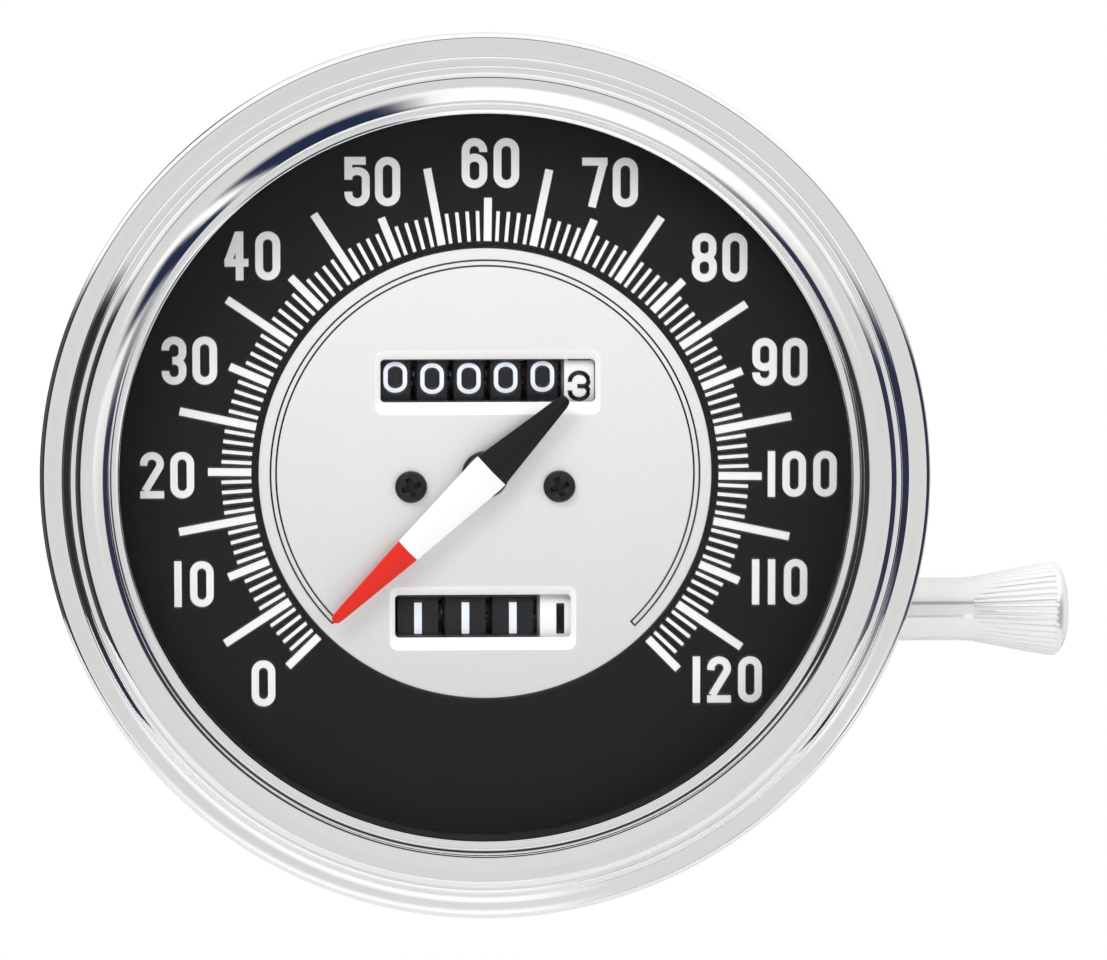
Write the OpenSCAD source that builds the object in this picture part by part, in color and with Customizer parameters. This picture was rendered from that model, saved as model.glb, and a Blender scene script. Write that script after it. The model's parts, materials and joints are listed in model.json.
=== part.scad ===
// Mechanical speedometer for a motorcycle dash: magnet and drag cup, odometer and trip counter.
// Millimetres. The origin is on the gauge's axis at the back face of the can, midway between the studs.
// The dial faces -Y, 12 o'clock is +Z, and the trip reset knob stands out along +X.
// Each piece is drawn with the gauge's axis as z, toward the reader, and upright() turns it into place.

/* [Can and bezel] */
// Outside diameter of the can
can_d = 114; // [112:0.5:116]
// Sheet thickness of the can
can_t = 1; // [0.8:0.1:1.3]
// Radius of the can's back corner
can_corner = 4; // [2:0.5:6]
// Reach of the bezel's edge beyond the can's wall
bezel_over = 6.5; // [6.2:0.1:7.5]
// Sheet thickness of the bezel
bezel_t = 0.9; // [0.7:0.1:1.1]
// Width of rim that the bezel hides, from the can's wall in to the opening
view_step = 4.8; // [4.3:0.1:5.2]
// Height of the bezel's crest above the glass
crest_h = 4.8; // [4:0.2:6]
// Thickness of the glass
lens_t = 2.2; // [1.8:0.1:3]
// Thickness of the rubber ring under the glass
gasket_t = 1; // [0.6:0.1:1.4]

/* [Dial and pointer] */
// Thickness of the dial plate
dial_t = 0.8; // [0.5:0.1:1]
// Width of the odometer window
odo_window_w = 30.8; // [30:0.1:32]
// Width of the trip window
trip_window_w = 25.3; // [25:0.1:27]
// Height of both windows
window_h = 6; // [5:0.1:7]
// Height of the odometer's axis above the gauge's centre
odo_y = 13.4; // [13:0.1:14.5]
// Distance of the trip counter's axis below the gauge's centre
trip_y = 21.4; // [20:0.1:22]
// Distance of each dial screw from the centre line
dial_screw_x = 10.65; // [10:0.1:11.5]
// Diameter of the dial screws' heads
dial_screw_head_d = 4.6; // [4:0.1:5.5]
// Length of the pointer from its axis to its tip
pointer_len = 30.5; // [28:0.5:32]
// Length of the pointer's tail
tail_len = 16; // [12:0.2:18]
// Angle of the pointer at rest, counted anticlockwise from 3 o'clock; the zero mark is at 225
zero_angle = 223.8; // [220:0.2:230]

/* [Counters] */
// Diameter of the number drums
drum_d = 19; // [18.8:0.1:19.2]
// Spacing of the odometer drums
odo_pitch = 5.28; // [5.1:0.02:5.4]
// Spacing of the trip drums
trip_pitch = 6.84; // [6.5:0.02:7]
// Height of the drums' axes above the bridge
counter_rise = 8.9; // [8.8:0.1:9.5]
// Gap between neighbouring rims, where the carry pinions run
rim_gap = 1; // [0.95:0.05:1.1]
// Diameter of both drum shafts
drum_shaft_d = 3; // [2.6:0.1:3.2]
// Diameter of the carry pinions' shafts
pinion_shaft_d = 1.6; // [1.2:0.1:1.8]

/* [Drive train] */
// Module of the worms and worm wheels
worm_m = 0.4; // [0.39:0.005:0.4]
// Pitch radius of the worm on the input shaft
input_worm_r = 2.6; // [2.5:0.05:2.8]
// Pitch radius of the two worms on the cross shaft
cross_worm_r = 2.2; // [2.1:0.05:2.3]
// Diameter of the input shaft in its bush
input_shaft_d = 6; // [5.6:0.1:6.4]
// Width across flats of the square socket for the cable's end
socket_w = 2.7; // [2.5:0.1:3.2]
// Diameter of the pointer's staff
staff_d = 1.2; // [1:0.1:1.4]
// Radius of the magnet
magnet_r = 8.2; // [7.6:0.1:8.3]
// Turns of the hairspring
spring_turns = 5; // [4:0.5:6]

/* [Frame] */
// Radius of the round frame base
base_r = 30.8; // [30.6:0.1:31]
// Thickness of the frame base
base_t = 2.2; // [2:0.1:2.6]
// Thickness of the side plates
side_t = 1.6; // [1.2:0.1:1.8]
// Thickness of the bridge that carries the staff's jewel
bridge_t = 1.5; // [1.2:0.1:1.8]
// Diameter of the dial posts
dial_post_d = 4.8; // [4:0.1:5]

/* [Back of the can] */
// Spacing of the two mounting studs
stud_spacing = 50; // [49:0.2:52]
// Diameter of the mounting studs
stud_d = 4.83; // [4.5:0.01:5]
// Length of the studs behind the can
stud_len = 16; // [12:0.5:20]
// Thread diameter of the cable boss
boss_d = 15.88; // [15.6:0.02:16.2]
// Reach of the cable boss behind the can
boss_len = 16; // [15:0.5:18]
// Bore in the boss for the cable's ferrule
ferrule_d = 10.4; // [10:0.1:11]
// Depth of the ferrule's bore
ferrule_depth = 9; // [8:0.1:9.5]
// Gap between the lamps' flanges and the can's rounded corner
lamp_gap = 1.1; // [0.6:0.1:1.6]
// Angle of the lamps above 3 and 9 o'clock
lamp_angle = 47; // [45:1:50]

/* [Reset knob] */
// Diameter of the knob's plain stem
stem_d = 9.2; // [8:0.1:10]
// Largest diameter of the knob's fluted end
knob_d = 13.7; // [12:0.1:15]
// Length of the knob's plain stem
stem_len = 13.2; // [11:0.1:14]
// Length of the knob's fluted end, dome included
knob_len = 14.4; // [12:0.1:15]
// Number of flutes
knob_flutes = 34; // [28:1:40]

/* [Clearances] */
// Radial clearance of a shaft in its bearing
run = 0.05; // [0.03:0.01:0.08]
// Clearance between parts that pass each other
pass = 0.3; // [0.25:0.05:0.35]

/* [Hidden] */
$fn = 64;

// Frame base and the heights of the drive train above it
can_r = can_d / 2;
bezel_r = can_r + bezel_over;
base_z = can_t;
base_top = base_z + base_t;
counter_lift = 6.2;
counter_z = base_top + counter_lift;
input_shaft_r = input_shaft_d / 2;
worm_pitch = PI * worm_m;
worm_add = 0.875 * worm_m;
worm_ded = 1.25 * worm_m;
worm_len = 5.9;
worm_seat = 0.2;
input_teeth = 25;
drive_teeth = 40;
input_wheel_r = worm_m * input_teeth / 2;
drive_wheel_r = worm_m * drive_teeth / 2;
counter_x = input_worm_r + input_wheel_r;
wheel_w = 2;
wheel_y1 = 1;

// Speed movement, from the worm up to the bridge
magnet_lift = 6.2;
magnet_z = counter_z + magnet_lift;
magnet_t = 3;
magnet_bore_r = 2.4;
magnet_seat_r = magnet_bore_r + 1;
magnet_seat_t = 0.9;
shaft_top = magnet_z + magnet_t + 1;
staff_r = staff_d / 2;
staff_depth = 0.7;
staff_z = shaft_top - staff_depth;
cup_r = magnet_r + 1;
cup_wall = 0.4;
cup_top_z = shaft_top + 0.6;
cup_t = 0.7;
field_r = cup_r + 0.7;
field_wall = 0.9;
field_top_z = cup_top_z + cup_t + 0.9;
field_t = 0.8;
pillar_len = 2.2;
bridge_z = field_top_z + field_t + pillar_len;
bridge_top = bridge_z + bridge_t;
bridge_y1 = 6.5;
pillar_r = 0.9;
pillar_ring = field_r - 1.9;
stop_r = 3.9;
stop_pin_r = 0.5;
stop_gap = 0.4;
stop_z = bridge_z - 1.5;
stop_arm_t = 0.6;
stop_arm_w = 0.8;
stop_lead = 25;
stop_clear = 18;
jewel_r = staff_r + 0.6;
collet_r = 1.6;
collet_gap = 0.4;
spring_z = bridge_top + 0.9;
spring_h = 0.5;
spring_w = 0.24;
spring_r0 = collet_r + run + spring_w / 2;
spring_r1 = 6.2;
spring_stud_r = 0.5;

// Drums and their pinions
drum_r = drum_d / 2;
drum_z = bridge_top + counter_rise;
drum_rim = 1.1;
drum_web = 1.3;
drum_shaft_r = drum_shaft_d / 2;
hub_tube_r = drum_shaft_r + 1.5;
shaft_collar_r = drum_shaft_r + 1.1;
ring_teeth = 20;
pinion_teeth = 8;
ring_r = drum_r - 1.5;
ring_m = 2 * ring_r / ring_teeth;
pinion_r = ring_m * pinion_teeth / 2;
pinion_gap = ring_r + pinion_r + run;
pinion_tip = pinion_r + 0.875 * ring_m;
pinion_root = 2.875 * ring_m;
ring_root = pinion_gap - pinion_tip - 0.15;
ring_tip = ring_r + 0.75 * ring_m;
ring_w = (rim_gap - 0.1) / 2;
carry_disc_w = ring_w - 0.1;
carry_disc_r = ring_root;
carry_notch = 2.2;
pinion_w = rim_gap - pass;
pinion_tilt = 30;
pinion_shaft_r = pinion_shaft_d / 2;

// Dial
dial_z = drum_z + drum_r + 0.5;
dial_top = dial_z + dial_t;
dial_r = can_r - can_t - 0.5;
window_corner = 0.7;
odo_count = 6;
trip_count = 4;
odo_mid_x = 0.34;
trip_mid_x = 0.57;
odo_window_x = 0.4;
trip_window_x = -0.35;
// The trip window is centred this far above its drums' axis
trip_window_rise = 0.7;
dial_screw_y = -1.8;
dial_screw_r = 1.2;
dial_screw_head_h = 1.2;
dial_screw_depth = 5;
dial_slot_w = 0.6;

// Can, glass and bezel
dial_drop = 3.6;
can_depth = dial_top + dial_drop;
flange_z = can_depth - can_t;
flange_r = bezel_r - bezel_t - 0.1;
lens_r = bezel_r - 5.9;
lens_z = can_depth + gasket_t;
lens_top = lens_z + lens_t;
view_r = can_r - view_step;
gasket_over = 0.4;
spacer_over = 0.3;

// Pointer
pointer_z = dial_top + dial_screw_head_h + 1.2;
pointer_edge_h = 0.5;
pointer_ridge_h = 1.7;
pointer_boss_r = 2.2;
pointer_boss_h = 0.9;
tail_w = 5.7;
hub_r = 3;
hub_z = dial_top + 0.6;

// Side plates and the drive gears outside the right one
side_x = max(odo_count * odo_pitch, trip_count * trip_pitch) / 2 + 0.62;
side_out = side_x + side_t;
gear_w = 1.8;
gear_hub = 1.4;
cross_x = side_out + 3;
cross_z = drum_z - cross_worm_r - drive_wheel_r;
side_y0 = -trip_y - 7.3;
side_y1 = odo_y + 9.1;
foot_y0 = -24.8;
foot_y1 = 21.8;
foot_h = 3;
side_boss_r = 4.3;
side_gap = 0.2;
trip_collar_x = cross_x + gear_w / 2 + 2 * side_gap;
shaft_end_over = 0.4;
drum_shaft_end = side_out + 1.2;
collar_w = 1;
collar_r = 2.4;
lug_t = 1.6;
lug_h = 5.4;
lug_y = odo_y + 5.4;
lug_end = cross_x + 2.6;

// Spur train from the countershaft to the cross shaft, through the idler midway between them
spur_teeth = 20;
spur_w = 1.6;
spur_y1 = -magnet_r + 0.2;
spur_y0 = spur_y1 - spur_w;
spur_line = atan2(cross_z - counter_z, cross_x - counter_x);
spur_m = norm([cross_x - counter_x, cross_z - counter_z]) / 2 / spur_teeth;
spur_r = spur_m * spur_teeth / 2;
spur_add = 0.75 * spur_m;
spur_ded = 0.95 * spur_m;
idler_x = (counter_x + cross_x) / 2;
idler_z = (counter_z + cross_z) / 2;
idler_head = 0.9;
counter_shaft_r = 1.2;
counter_body_r = 2;
cross_shaft_r = 1.5;
idler_stud_r = 1.3;

// Train bracket and the post for the far end of the countershaft
bracket_t = 1.2;
bracket_y1 = spur_y0 - 0.8;
bracket_y0 = bracket_y1 - bracket_t;
bracket_side = 3.6;
bracket_x0 = counter_x - bracket_side;
bracket_x1 = cross_x + 3;
bracket_top = cross_z + 3.4;
bracket_step = counter_z + 5;
cutout_gap = 0.9;
counter_post_y0 = 3.5;
counter_post_y1 = 6;
counter_post_w = 4;
counter_post_over = 2.4;
bridge_y0 = bracket_y1 + 0.5;
gear_notch = 1.2;

// Back of the can
stud_x = stud_spacing / 2;
stud_r = stud_d / 2;
stud_shank_r = stud_r + 0.5;
stud_head_r = stud_r + 2;
stud_head_h = 2.4;
boss_r = boss_d / 2;
boss_flange_r = boss_r + 4;
boss_flange_t = 2.5;
boss_neck_r = boss_r + 0.96;
bush_r = input_shaft_r + 1.6;
bush_z0 = -boss_len + ferrule_depth;
socket_depth = 7;
screw_angles = [90, 210, 330];
frame_screw_ring = base_r - 5;
frame_screw_r = 1.6;
frame_screw_head_r = 3;
frame_screw_head_h = 1.6;
frame_screw_slot = 0.8;
lamp_r = 6;
lamp_flange_r = 8;
lamp_flange_t = 1.2;
lamp_ring = can_r - can_corner - lamp_flange_r - lamp_gap;
lamp_x = lamp_ring * cos(lamp_angle);
lamp_y = lamp_ring * sin(lamp_angle);
lamp_len = 12;
lamp_floor = 2;
lamp_neck = 3;
lamp_wall = 1.3;
bulb_r = 4.5;
bulb_top = 18;

// Reset knob, its shaft and the bush in the can's wall
stem_r = stem_d / 2;
knob_r = knob_d / 2;
reset_bush_r = 3.6;
reset_flange_r = 5.6;
reset_face_x = can_r + 0.4;
reset_inner_x = sqrt(pow(can_r, 2) - pow(trip_y, 2)) - 4.5;
stem_x = reset_face_x + pass;
knob_x0 = stem_x + stem_len;
knob_x1 = knob_x0 + knob_len;
reset_shaft_end = knob_x0 + 2;
knob_dome = 2.4;
flute_w = 0.45;
flute_start = 0.6;
set_screw_x = stem_x + 5;
set_screw_r = 1;
set_screw_sink = 0.6;
set_screw_slot = 0.4;

// Overlap that joins two solids, and the excess of a cut beyond its face
join = 0.1;
cut = 1;

// Turns a piece from the drawing axes (z toward the reader) to the part's own axes
module upright() { rotate([90, 0, 0]) children(); }
// Extrudes a flat shape along +x, its own x and y axes becoming y and z
module along_x(len) { rotate([90, 0, 90]) linear_extrude(len) children(); }
// Extrudes a flat shape along -y, its own x and y axes becoming x and z
module along_y(len) { rotate([90, 0, 0]) linear_extrude(len) children(); }
// Round bar along +x from x0 to x1
module bar_x(r, x0, x1) { translate([x0, 0, 0]) rotate([0, 90, 0]) cylinder(r = r, h = x1 - x0); }
// Round bar along +y from y0 to y1
module bar_y(r, y0, y1) { translate([0, y1, 0]) rotate([90, 0, 0]) cylinder(r = r, h = y1 - y0); }
// Round bar along +z from z0 to z1
module bar_z(r, z0, z1) { translate([0, 0, z0]) cylinder(r = r, h = z1 - z0); }
// Washer or tube along +z from z0 to z1
module tube_z(r_out, r_in, z0, z1) {
  difference() {
    bar_z(r_out, z0, z1);
    bar_z(r_in, z0 - cut, z1 + cut);
  }
}
// Copies children on a circle of radius r at the given angles
module at_angles(r, angles) {
  for (a = angles) rotate([0, 0, a]) translate([r, 0, 0]) children();
}
// Copies children to the left and right of the centre line
module both_sides(x) {
  for (side = [-1, 1]) translate([side * x, 0, 0]) children();
}

// Points of an arc, from angle a0 to a1
function arc(cx, cy, r, a0, a1, steps = 6) = [
  for (i = [0 : steps]) let (a = a0 + (a1 - a0) * i / steps) [cx + r * cos(a), cy + r * sin(a)]
];

// Outline of a gear with slender straight-flanked teeth; tooth 0 is centred on angle `first`
function gear_points(teeth, r_root, r_tip, half_root, half_tip, first) = [
  for (i = [0 : teeth - 1])
    for (p = [[r_root, -half_root], [r_tip, -half_tip], [r_tip, half_tip], [r_root, half_root]])
      let (a = first + i * 360 / teeth + p[1] / p[0] * 180 / PI) [p[0] * cos(a), p[0] * sin(a)]
];
module spur_outline(first) {
  polygon(gear_points(spur_teeth, spur_r - spur_ded, spur_r + spur_add, 0.88 * spur_m, 0.33 * spur_m, first));
}
module wheel_outline(teeth, r, first) {
  polygon(gear_points(teeth, r - worm_ded, r + worm_add, 0.85 * worm_m, 0.325 * worm_m, first));
}
module ring_outline(first) {
  polygon(gear_points(ring_teeth, ring_root, ring_tip, 0.775 * ring_m, 0.325 * ring_m, first));
}
module pinion_outline(first) {
  polygon(gear_points(pinion_teeth, pinion_root, pinion_tip, 0.775 * ring_m, 0.25 * ring_m, first));
}

// Right-handed worm thread along +z, centred on the origin, passing angle 0 there
module worm_thread(r) {
  segs = 16;
  rings = floor(worm_len / worm_pitch * segs / 2);
  r_in = r - worm_ded - join;
  r_out = r + worm_add;
  root_w = 0.75 * worm_m;
  tip_w = 0.25 * worm_m;
  section = [[r_in, -root_w], [r_out, -tip_w], [r_out, tip_w], [r_in, root_w]];
  points = [
    for (i = [-rings : rings]) for (p = section)
      [p[0] * cos(i * 360 / segs), p[0] * sin(i * 360 / segs), p[1] + worm_pitch * i / segs]
  ];
  last = 8 * rings;
  walls = [
    for (i = [0 : 2 * rings - 1]) for (k = [0 : 3])
      let (a = 4 * i + k, b = 4 * i + (k + 1) % 4) each [[a, b, b + 4], [a, b + 4, a + 4]]
  ];
  ends = [[3, 2, 1], [3, 1, 0], [last, last + 1, last + 2], [last, last + 2, last + 3]];
  polyhedron(points, concat(walls, ends));
}

// Back of the can: pressed steel can with its front flange and the holes for all that passes its wall
module case_can() {
  color("silver") upright() difference() {
    rotate_extrude() polygon(concat(
      [[boss_neck_r, 0]],
      arc(can_r - can_corner, can_corner, can_corner, -90, 0),
      [[can_r, flange_z], [flange_r, flange_z], [flange_r, can_depth], [can_r - can_t, can_depth]],
      arc(can_r - can_corner, can_corner, can_corner - can_t, 0, -90),
      [[boss_neck_r, can_t]]));
    both_sides(stud_x) bar_z(stud_shank_r, -cut, can_t + cut);
    at_angles(frame_screw_ring, screw_angles) bar_z(frame_screw_r, -cut, can_t + cut);
    both_sides(lamp_x) translate([0, lamp_y, 0]) bar_z(lamp_r, -cut, can_t + cut);
    translate([0, -trip_y, drum_z]) bar_x(reset_bush_r, reset_inner_x, can_r + cut);
  }
}

// Chrome bezel: lip on the glass, crest, broad band, groove, bead, step and flange,
// with its edge rolled behind the can
module bezel() {
  crest = lens_top + crest_h;
  wall_r = view_r + 1.3;
  step_r = bezel_r - 4.9;
  outer = concat(
    [[view_r, lens_top]], arc(view_r + 0.3, lens_top + 0.4, 0.3, 180, 90, 3),
    [[wall_r, lens_top + 0.75], [wall_r + 0.3, crest - 1.2]], arc(wall_r + 0.7, crest - 1.2, 0.4, 170, 115, 3),
    [[wall_r + 2.2, crest - 0.3], [step_r - 1.5, crest], [step_r - 1.1, crest - 0.2]],
    arc(step_r - 0.35, crest - 0.5, 0.3, 85, 20, 3),
    [[step_r + 0.9, lens_top + 0.9], [step_r + 1.3, lens_top + 0.6], [bezel_r - 1.3, lens_top + 0.55]],
    arc(bezel_r - 0.75, lens_top - 0.25, 0.75, 85, 0, 4),
    arc(bezel_r - 0.6, flange_z - bezel_t + 0.6, 0.6, 0, -90, 4));
  inner = [
    [can_r + 1.2, flange_z - bezel_t], [can_r + 1.2, flange_z], [bezel_r - bezel_t, flange_z],
    [bezel_r - bezel_t, lens_top - 0.5], [step_r + 0.2, lens_top - 0.4],
    [step_r - 0.9, crest - 1.2], [wall_r + 2.3, crest - 1.3], [wall_r + 1.2, crest - 1.8],
    [wall_r + 0.9, lens_top]
  ];
  color("gainsboro") upright() rotate_extrude() polygon(concat(outer, inner));
}

module lens() {
  color([0.85, 0.92, 0.95, 0.3]) upright() bar_z(lens_r, lens_z, lens_top);
}

module lens_gasket() {
  color("dimgray") upright() tube_z(lens_r, dial_r + gasket_over, can_depth, lens_z);
}

// Black ring that holds the glass clear of the dial and hides the can's wall
module spacer_ring() {
  color("black") upright() tube_z(dial_r, view_r + spacer_over, dial_top, lens_z);
}

module window(w) {
  for (x = [-1, 1], y = [-1, 1])
    translate([x * (w / 2 - window_corner), y * (window_h / 2 - window_corner), 0])
      bar_z(window_corner, dial_z - cut, dial_top + cut);
  translate([-w / 2 + window_corner, -window_h / 2, dial_z - cut])
    cube([w - 2 * window_corner, window_h, dial_t + 2 * cut]);
  translate([-w / 2, -window_h / 2 + window_corner, dial_z - cut])
    cube([w, window_h - 2 * window_corner, dial_t + 2 * cut]);
}

module dial_plate() {
  color([0.13, 0.13, 0.14]) upright() difference() {
    bar_z(dial_r, dial_z, dial_top);
    translate([odo_window_x, odo_y, 0]) window(odo_window_w);
    translate([trip_window_x, trip_window_rise - trip_y, 0]) window(trip_window_w);
    both_sides(dial_screw_x) translate([0, dial_screw_y, 0])
      bar_z(dial_screw_r, dial_z - cut, dial_top + cut);
    bar_z(staff_r + pass, dial_z - cut, dial_top + cut);
  }
}

module dial_screws() {
  slot_l = dial_screw_head_d * 0.55;
  head_top = dial_top + dial_screw_head_h;
  color([0.08, 0.08, 0.08]) upright() both_sides(dial_screw_x) translate([0, dial_screw_y, 0]) difference() {
    union() {
      bar_z(dial_screw_head_d / 2, dial_top, head_top);
      bar_z(dial_screw_r, dial_top - dial_screw_depth, dial_top + join);
    }
    for (a = [0, 90]) rotate([0, 0, a]) translate([-slot_l / 2, -dial_slot_w / 2, head_top - dial_slot_w])
      cube([slot_l, dial_slot_w, dial_slot_w + cut]);
  }
}

// The two posts that carry the dial on the bridge
module dial_posts() {
  color("lightgray") upright() both_sides(dial_screw_x) translate([0, dial_screw_y, 0])
    tube_post(dial_post_d / 2, dial_screw_r, bridge_top, dial_z, dial_top - dial_screw_depth);
}
// Post with a blind hole down to z_hole
module tube_post(r, r_hole, z0, z1, z_hole) {
  difference() {
    bar_z(r, z0, z1);
    bar_z(r_hole, z_hole, z1 + cut);
  }
}

// Round base of the movement's frame, with the post for the far end of the countershaft
module frame_base() {
  color("darkgray") upright() difference() {
    union() {
      bar_z(base_r, base_z, base_top);
      translate([counter_x - counter_post_w / 2, counter_post_y0, base_top - join])
        cube([counter_post_w, counter_post_y1 - counter_post_y0, counter_lift + counter_post_over + join]);
    }
    bar_z(bush_r, base_z - cut, base_top + cut);
    both_sides(stud_x) bar_z(stud_shank_r, base_z - cut, base_top + cut);
    at_angles(frame_screw_ring, screw_angles) bar_z(frame_screw_r, base_z - cut, base_top + cut);
    translate([counter_x, 0, counter_z])
      bar_y(counter_shaft_r + run, counter_post_y0 - cut, counter_post_y1 + cut);
  }
}

// Outline of a side plate in y and z: a foot, a wall with a rounded boss round each drum shaft
module side_outline() {
  difference() {
    union() {
      translate([foot_y0, base_top]) square([foot_y1 - foot_y0, foot_h + join]);
      translate([side_y0, base_top + foot_h]) square([side_y1 - side_y0, drum_z - 1 - base_top - foot_h]);
      for (y = [odo_y, -trip_y]) translate([y, drum_z]) circle(side_boss_r);
    }
    for (y = [odo_y, -trip_y]) carry_point(y) circle(pinion_shaft_r);
  }
}
// Place of the carry pinions' shaft for the counter whose drums turn on y
module carry_point(y) {
  translate([y + sign(y) * pinion_gap * sin(pinion_tilt), drum_z - pinion_gap * cos(pinion_tilt)]) children();
}

module side_plate_left() {
  color("darkgray") upright() translate([-side_out, 0, 0]) along_x(side_t) difference() {
    side_outline();
    for (y = [odo_y, -trip_y]) translate([y, drum_z]) circle(drum_shaft_r + run);
    translate([bracket_y0 - cutout_gap, base_top + 8]) square([5 - bracket_y0, 10]);
  }
}

// The right plate has a cut-out for the spur train and two lugs for the cross shaft
module side_plate_right() {
  color("darkgray") upright() difference() {
    union() {
      translate([side_x, 0, 0]) along_x(side_t) difference() {
        side_outline();
        translate([odo_y, drum_z]) circle(drum_shaft_r + run);
        translate([-trip_y, drum_z]) circle(hub_tube_r + run);
        translate([bracket_y0 - cutout_gap, base_top - cut])
          square([5.9 - bracket_y0, cross_z + 6 - base_top + cut]);
      }
      for (y = [lug_y, side_y0]) translate([side_out - join, y, cross_z - lug_h / 2])
        cube([lug_end - side_out + join, lug_t, lug_h]);
    }
    translate([cross_x, 0, cross_z]) bar_y(cross_shaft_r + run, side_y0 - cut, side_y1 + cut);
  }
}

// Bridge between the side plates: jewel hole, notch for the cross shaft's gear and the hairspring's stud
module bridge_plate() {
  color("gray") upright() difference() {
    union() {
      translate([-side_x, bridge_y0, bridge_z]) cube([2 * side_x, bridge_y1 - bridge_y0, bridge_t]);
      rotate([0, 0, 180]) translate([spring_r1 + spring_w / 2 + spring_stud_r, 0, 0])
        bar_z(spring_stud_r, bridge_z, spring_z + spring_h);
    }
    bar_z(jewel_r, bridge_z - cut, bridge_top + cut);
    translate([cross_x - spur_r - spur_add - gear_notch, bridge_y0 - cut, bridge_z - cut])
      cube([cross_x, spur_y1 + gear_notch - bridge_y0 + cut, bridge_t + 2 * cut]);
  }
}

// Upright bracket behind the spur train
module train_bracket() {
  color("gray") upright() difference() {
    translate([bracket_x0, bracket_y0, base_top])
      cube([bracket_x1 - bracket_x0, bracket_t, bracket_top - base_top]);
    translate([counter_x, 0, counter_z]) bar_y(counter_shaft_r + run, bracket_y0 - cut, bracket_y1 + cut);
    translate([idler_x, 0, idler_z]) bar_y(idler_stud_r, bracket_y0 - cut, bracket_y1 + cut);
    translate([cross_x, 0, cross_z]) bar_y(cross_shaft_r + run, bracket_y0 - cut, bracket_y1 + cut);
    translate([bracket_x0 - cut, bracket_y0 - cut, bracket_step])
      cube([bracket_side + cut, bracket_t + 2 * cut, bracket_top]);
  }
}

// Threaded cable boss with a flange behind the can and a neck through it
module drive_boss() {
  color("gainsboro") upright() difference() {
    union() {
      bar_z(boss_r, -boss_len, -boss_flange_t + join);
      bar_z(boss_flange_r, -boss_flange_t, 0);
      bar_z(boss_neck_r, -join, can_t);
    }
    bar_z(ferrule_d / 2, -boss_len - cut, bush_z0);
    bar_z(bush_r, bush_z0 - join, can_t + cut);
  }
}

module input_bush() {
  color("peru") upright() tube_z(bush_r, input_shaft_r + run, bush_z0, base_top);
}

module staff_jewel() {
  color("crimson") upright() tube_z(jewel_r, staff_r + run, bridge_z, bridge_top);
}

// Steel cup round the drag cup, hung from the bridge on four pillars, with the zero stop pin on top
module field_plate() {
  color("slategray") upright() difference() {
    union() {
      difference() {
        bar_z(field_r + field_wall, magnet_z, field_top_z + field_t);
        bar_z(field_r, magnet_z - cut, field_top_z);
      }
      at_angles(pillar_ring, [45, 135, 225, 315]) bar_z(pillar_r, field_top_z, bridge_z);
      at_angles(stop_r, [zero_angle + stop_lead]) bar_z(stop_pin_r, field_top_z, bridge_z - stop_gap);
    }
    bar_z(staff_r + 2 * pass, field_top_z - cut, field_top_z + field_t + cut);
  }
}

// Flat spiral spring from the collet on the staff to the stud on the bridge
module hairspring() {
  steps = 24 * spring_turns;
  edge = function(offset) [
    for (i = [0 : steps])
      let (
        a = 180 - spring_turns * 360 + i * 15,
        r = spring_r0 + (spring_r1 - spring_r0) * i / steps + offset
      )
        [r * cos(a), r * sin(a)]
  ];
  inside = edge(-spring_w / 2);
  color("goldenrod") upright() translate([0, 0, spring_z]) linear_extrude(spring_h)
    polygon(concat(edge(spring_w / 2), [for (i = [steps : -1 : 0]) inside[i]]));
}

// Shaft of one counter's carry pinions, its ends inside the side plates
module carry_shaft(y) {
  half = side_out - side_gap;
  color("silver") upright() rotate([90, 0, 90]) carry_point(y)
    translate([0, 0, -half]) cylinder(r = pinion_shaft_r, h = 2 * half);
}
module odo_pinion_shaft() { carry_shaft(odo_y); }
module trip_pinion_shaft() { carry_shaft(-trip_y); }

module idler_stud() {
  color("silver") upright() translate([idler_x, 0, idler_z]) {
    bar_y(idler_stud_r, bracket_y0, spur_y1 + pass + join);
    bar_y(idler_stud_r + idler_head, spur_y1 + pass, spur_y1 + pass + idler_head);
  }
}

// Flanged brass bush for the reset shaft; its flange is saddled to the can's wall
module reset_bush() {
  color("goldenrod") upright() translate([0, -trip_y, drum_z]) difference() {
    union() {
      difference() {
        bar_x(reset_flange_r, reset_inner_x, reset_face_x);
        translate([0, trip_y, 0]) bar_z(can_r, -reset_flange_r - cut, reset_flange_r + cut);
      }
      bar_x(reset_bush_r, reset_inner_x, reset_face_x);
    }
    bar_x(drum_shaft_r + run, reset_inner_x - cut, reset_face_x + cut);
  }
}

module mounting_studs() {
  color("silver") upright() both_sides(stud_x) {
    bar_z(stud_r, -stud_len, 0);
    bar_z(stud_shank_r, 0, base_top + join);
    translate([0, 0, base_top]) cylinder(r = stud_head_r, h = stud_head_h, $fn = 6);
  }
}

module frame_screws() {
  color("silver") upright() at_angles(frame_screw_ring, screw_angles) difference() {
    union() {
      bar_z(frame_screw_head_r, -frame_screw_head_h, 0);
      bar_z(frame_screw_r, -join, base_top);
    }
    translate([-frame_screw_head_r - cut, -frame_screw_slot / 2, -frame_screw_head_h - cut])
      cube([2 * frame_screw_head_r + 2 * cut, frame_screw_slot, frame_screw_slot + cut]);
  }
}

module lamp_shells() {
  color("gray") upright() both_sides(lamp_x) translate([0, lamp_y, 0]) difference() {
    union() {
      bar_z(lamp_r, -lamp_len, lamp_neck);
      bar_z(lamp_flange_r, -lamp_flange_t, 0);
    }
    bar_z(lamp_r - lamp_wall, -lamp_len + lamp_floor, lamp_neck + cut);
  }
}

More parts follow.
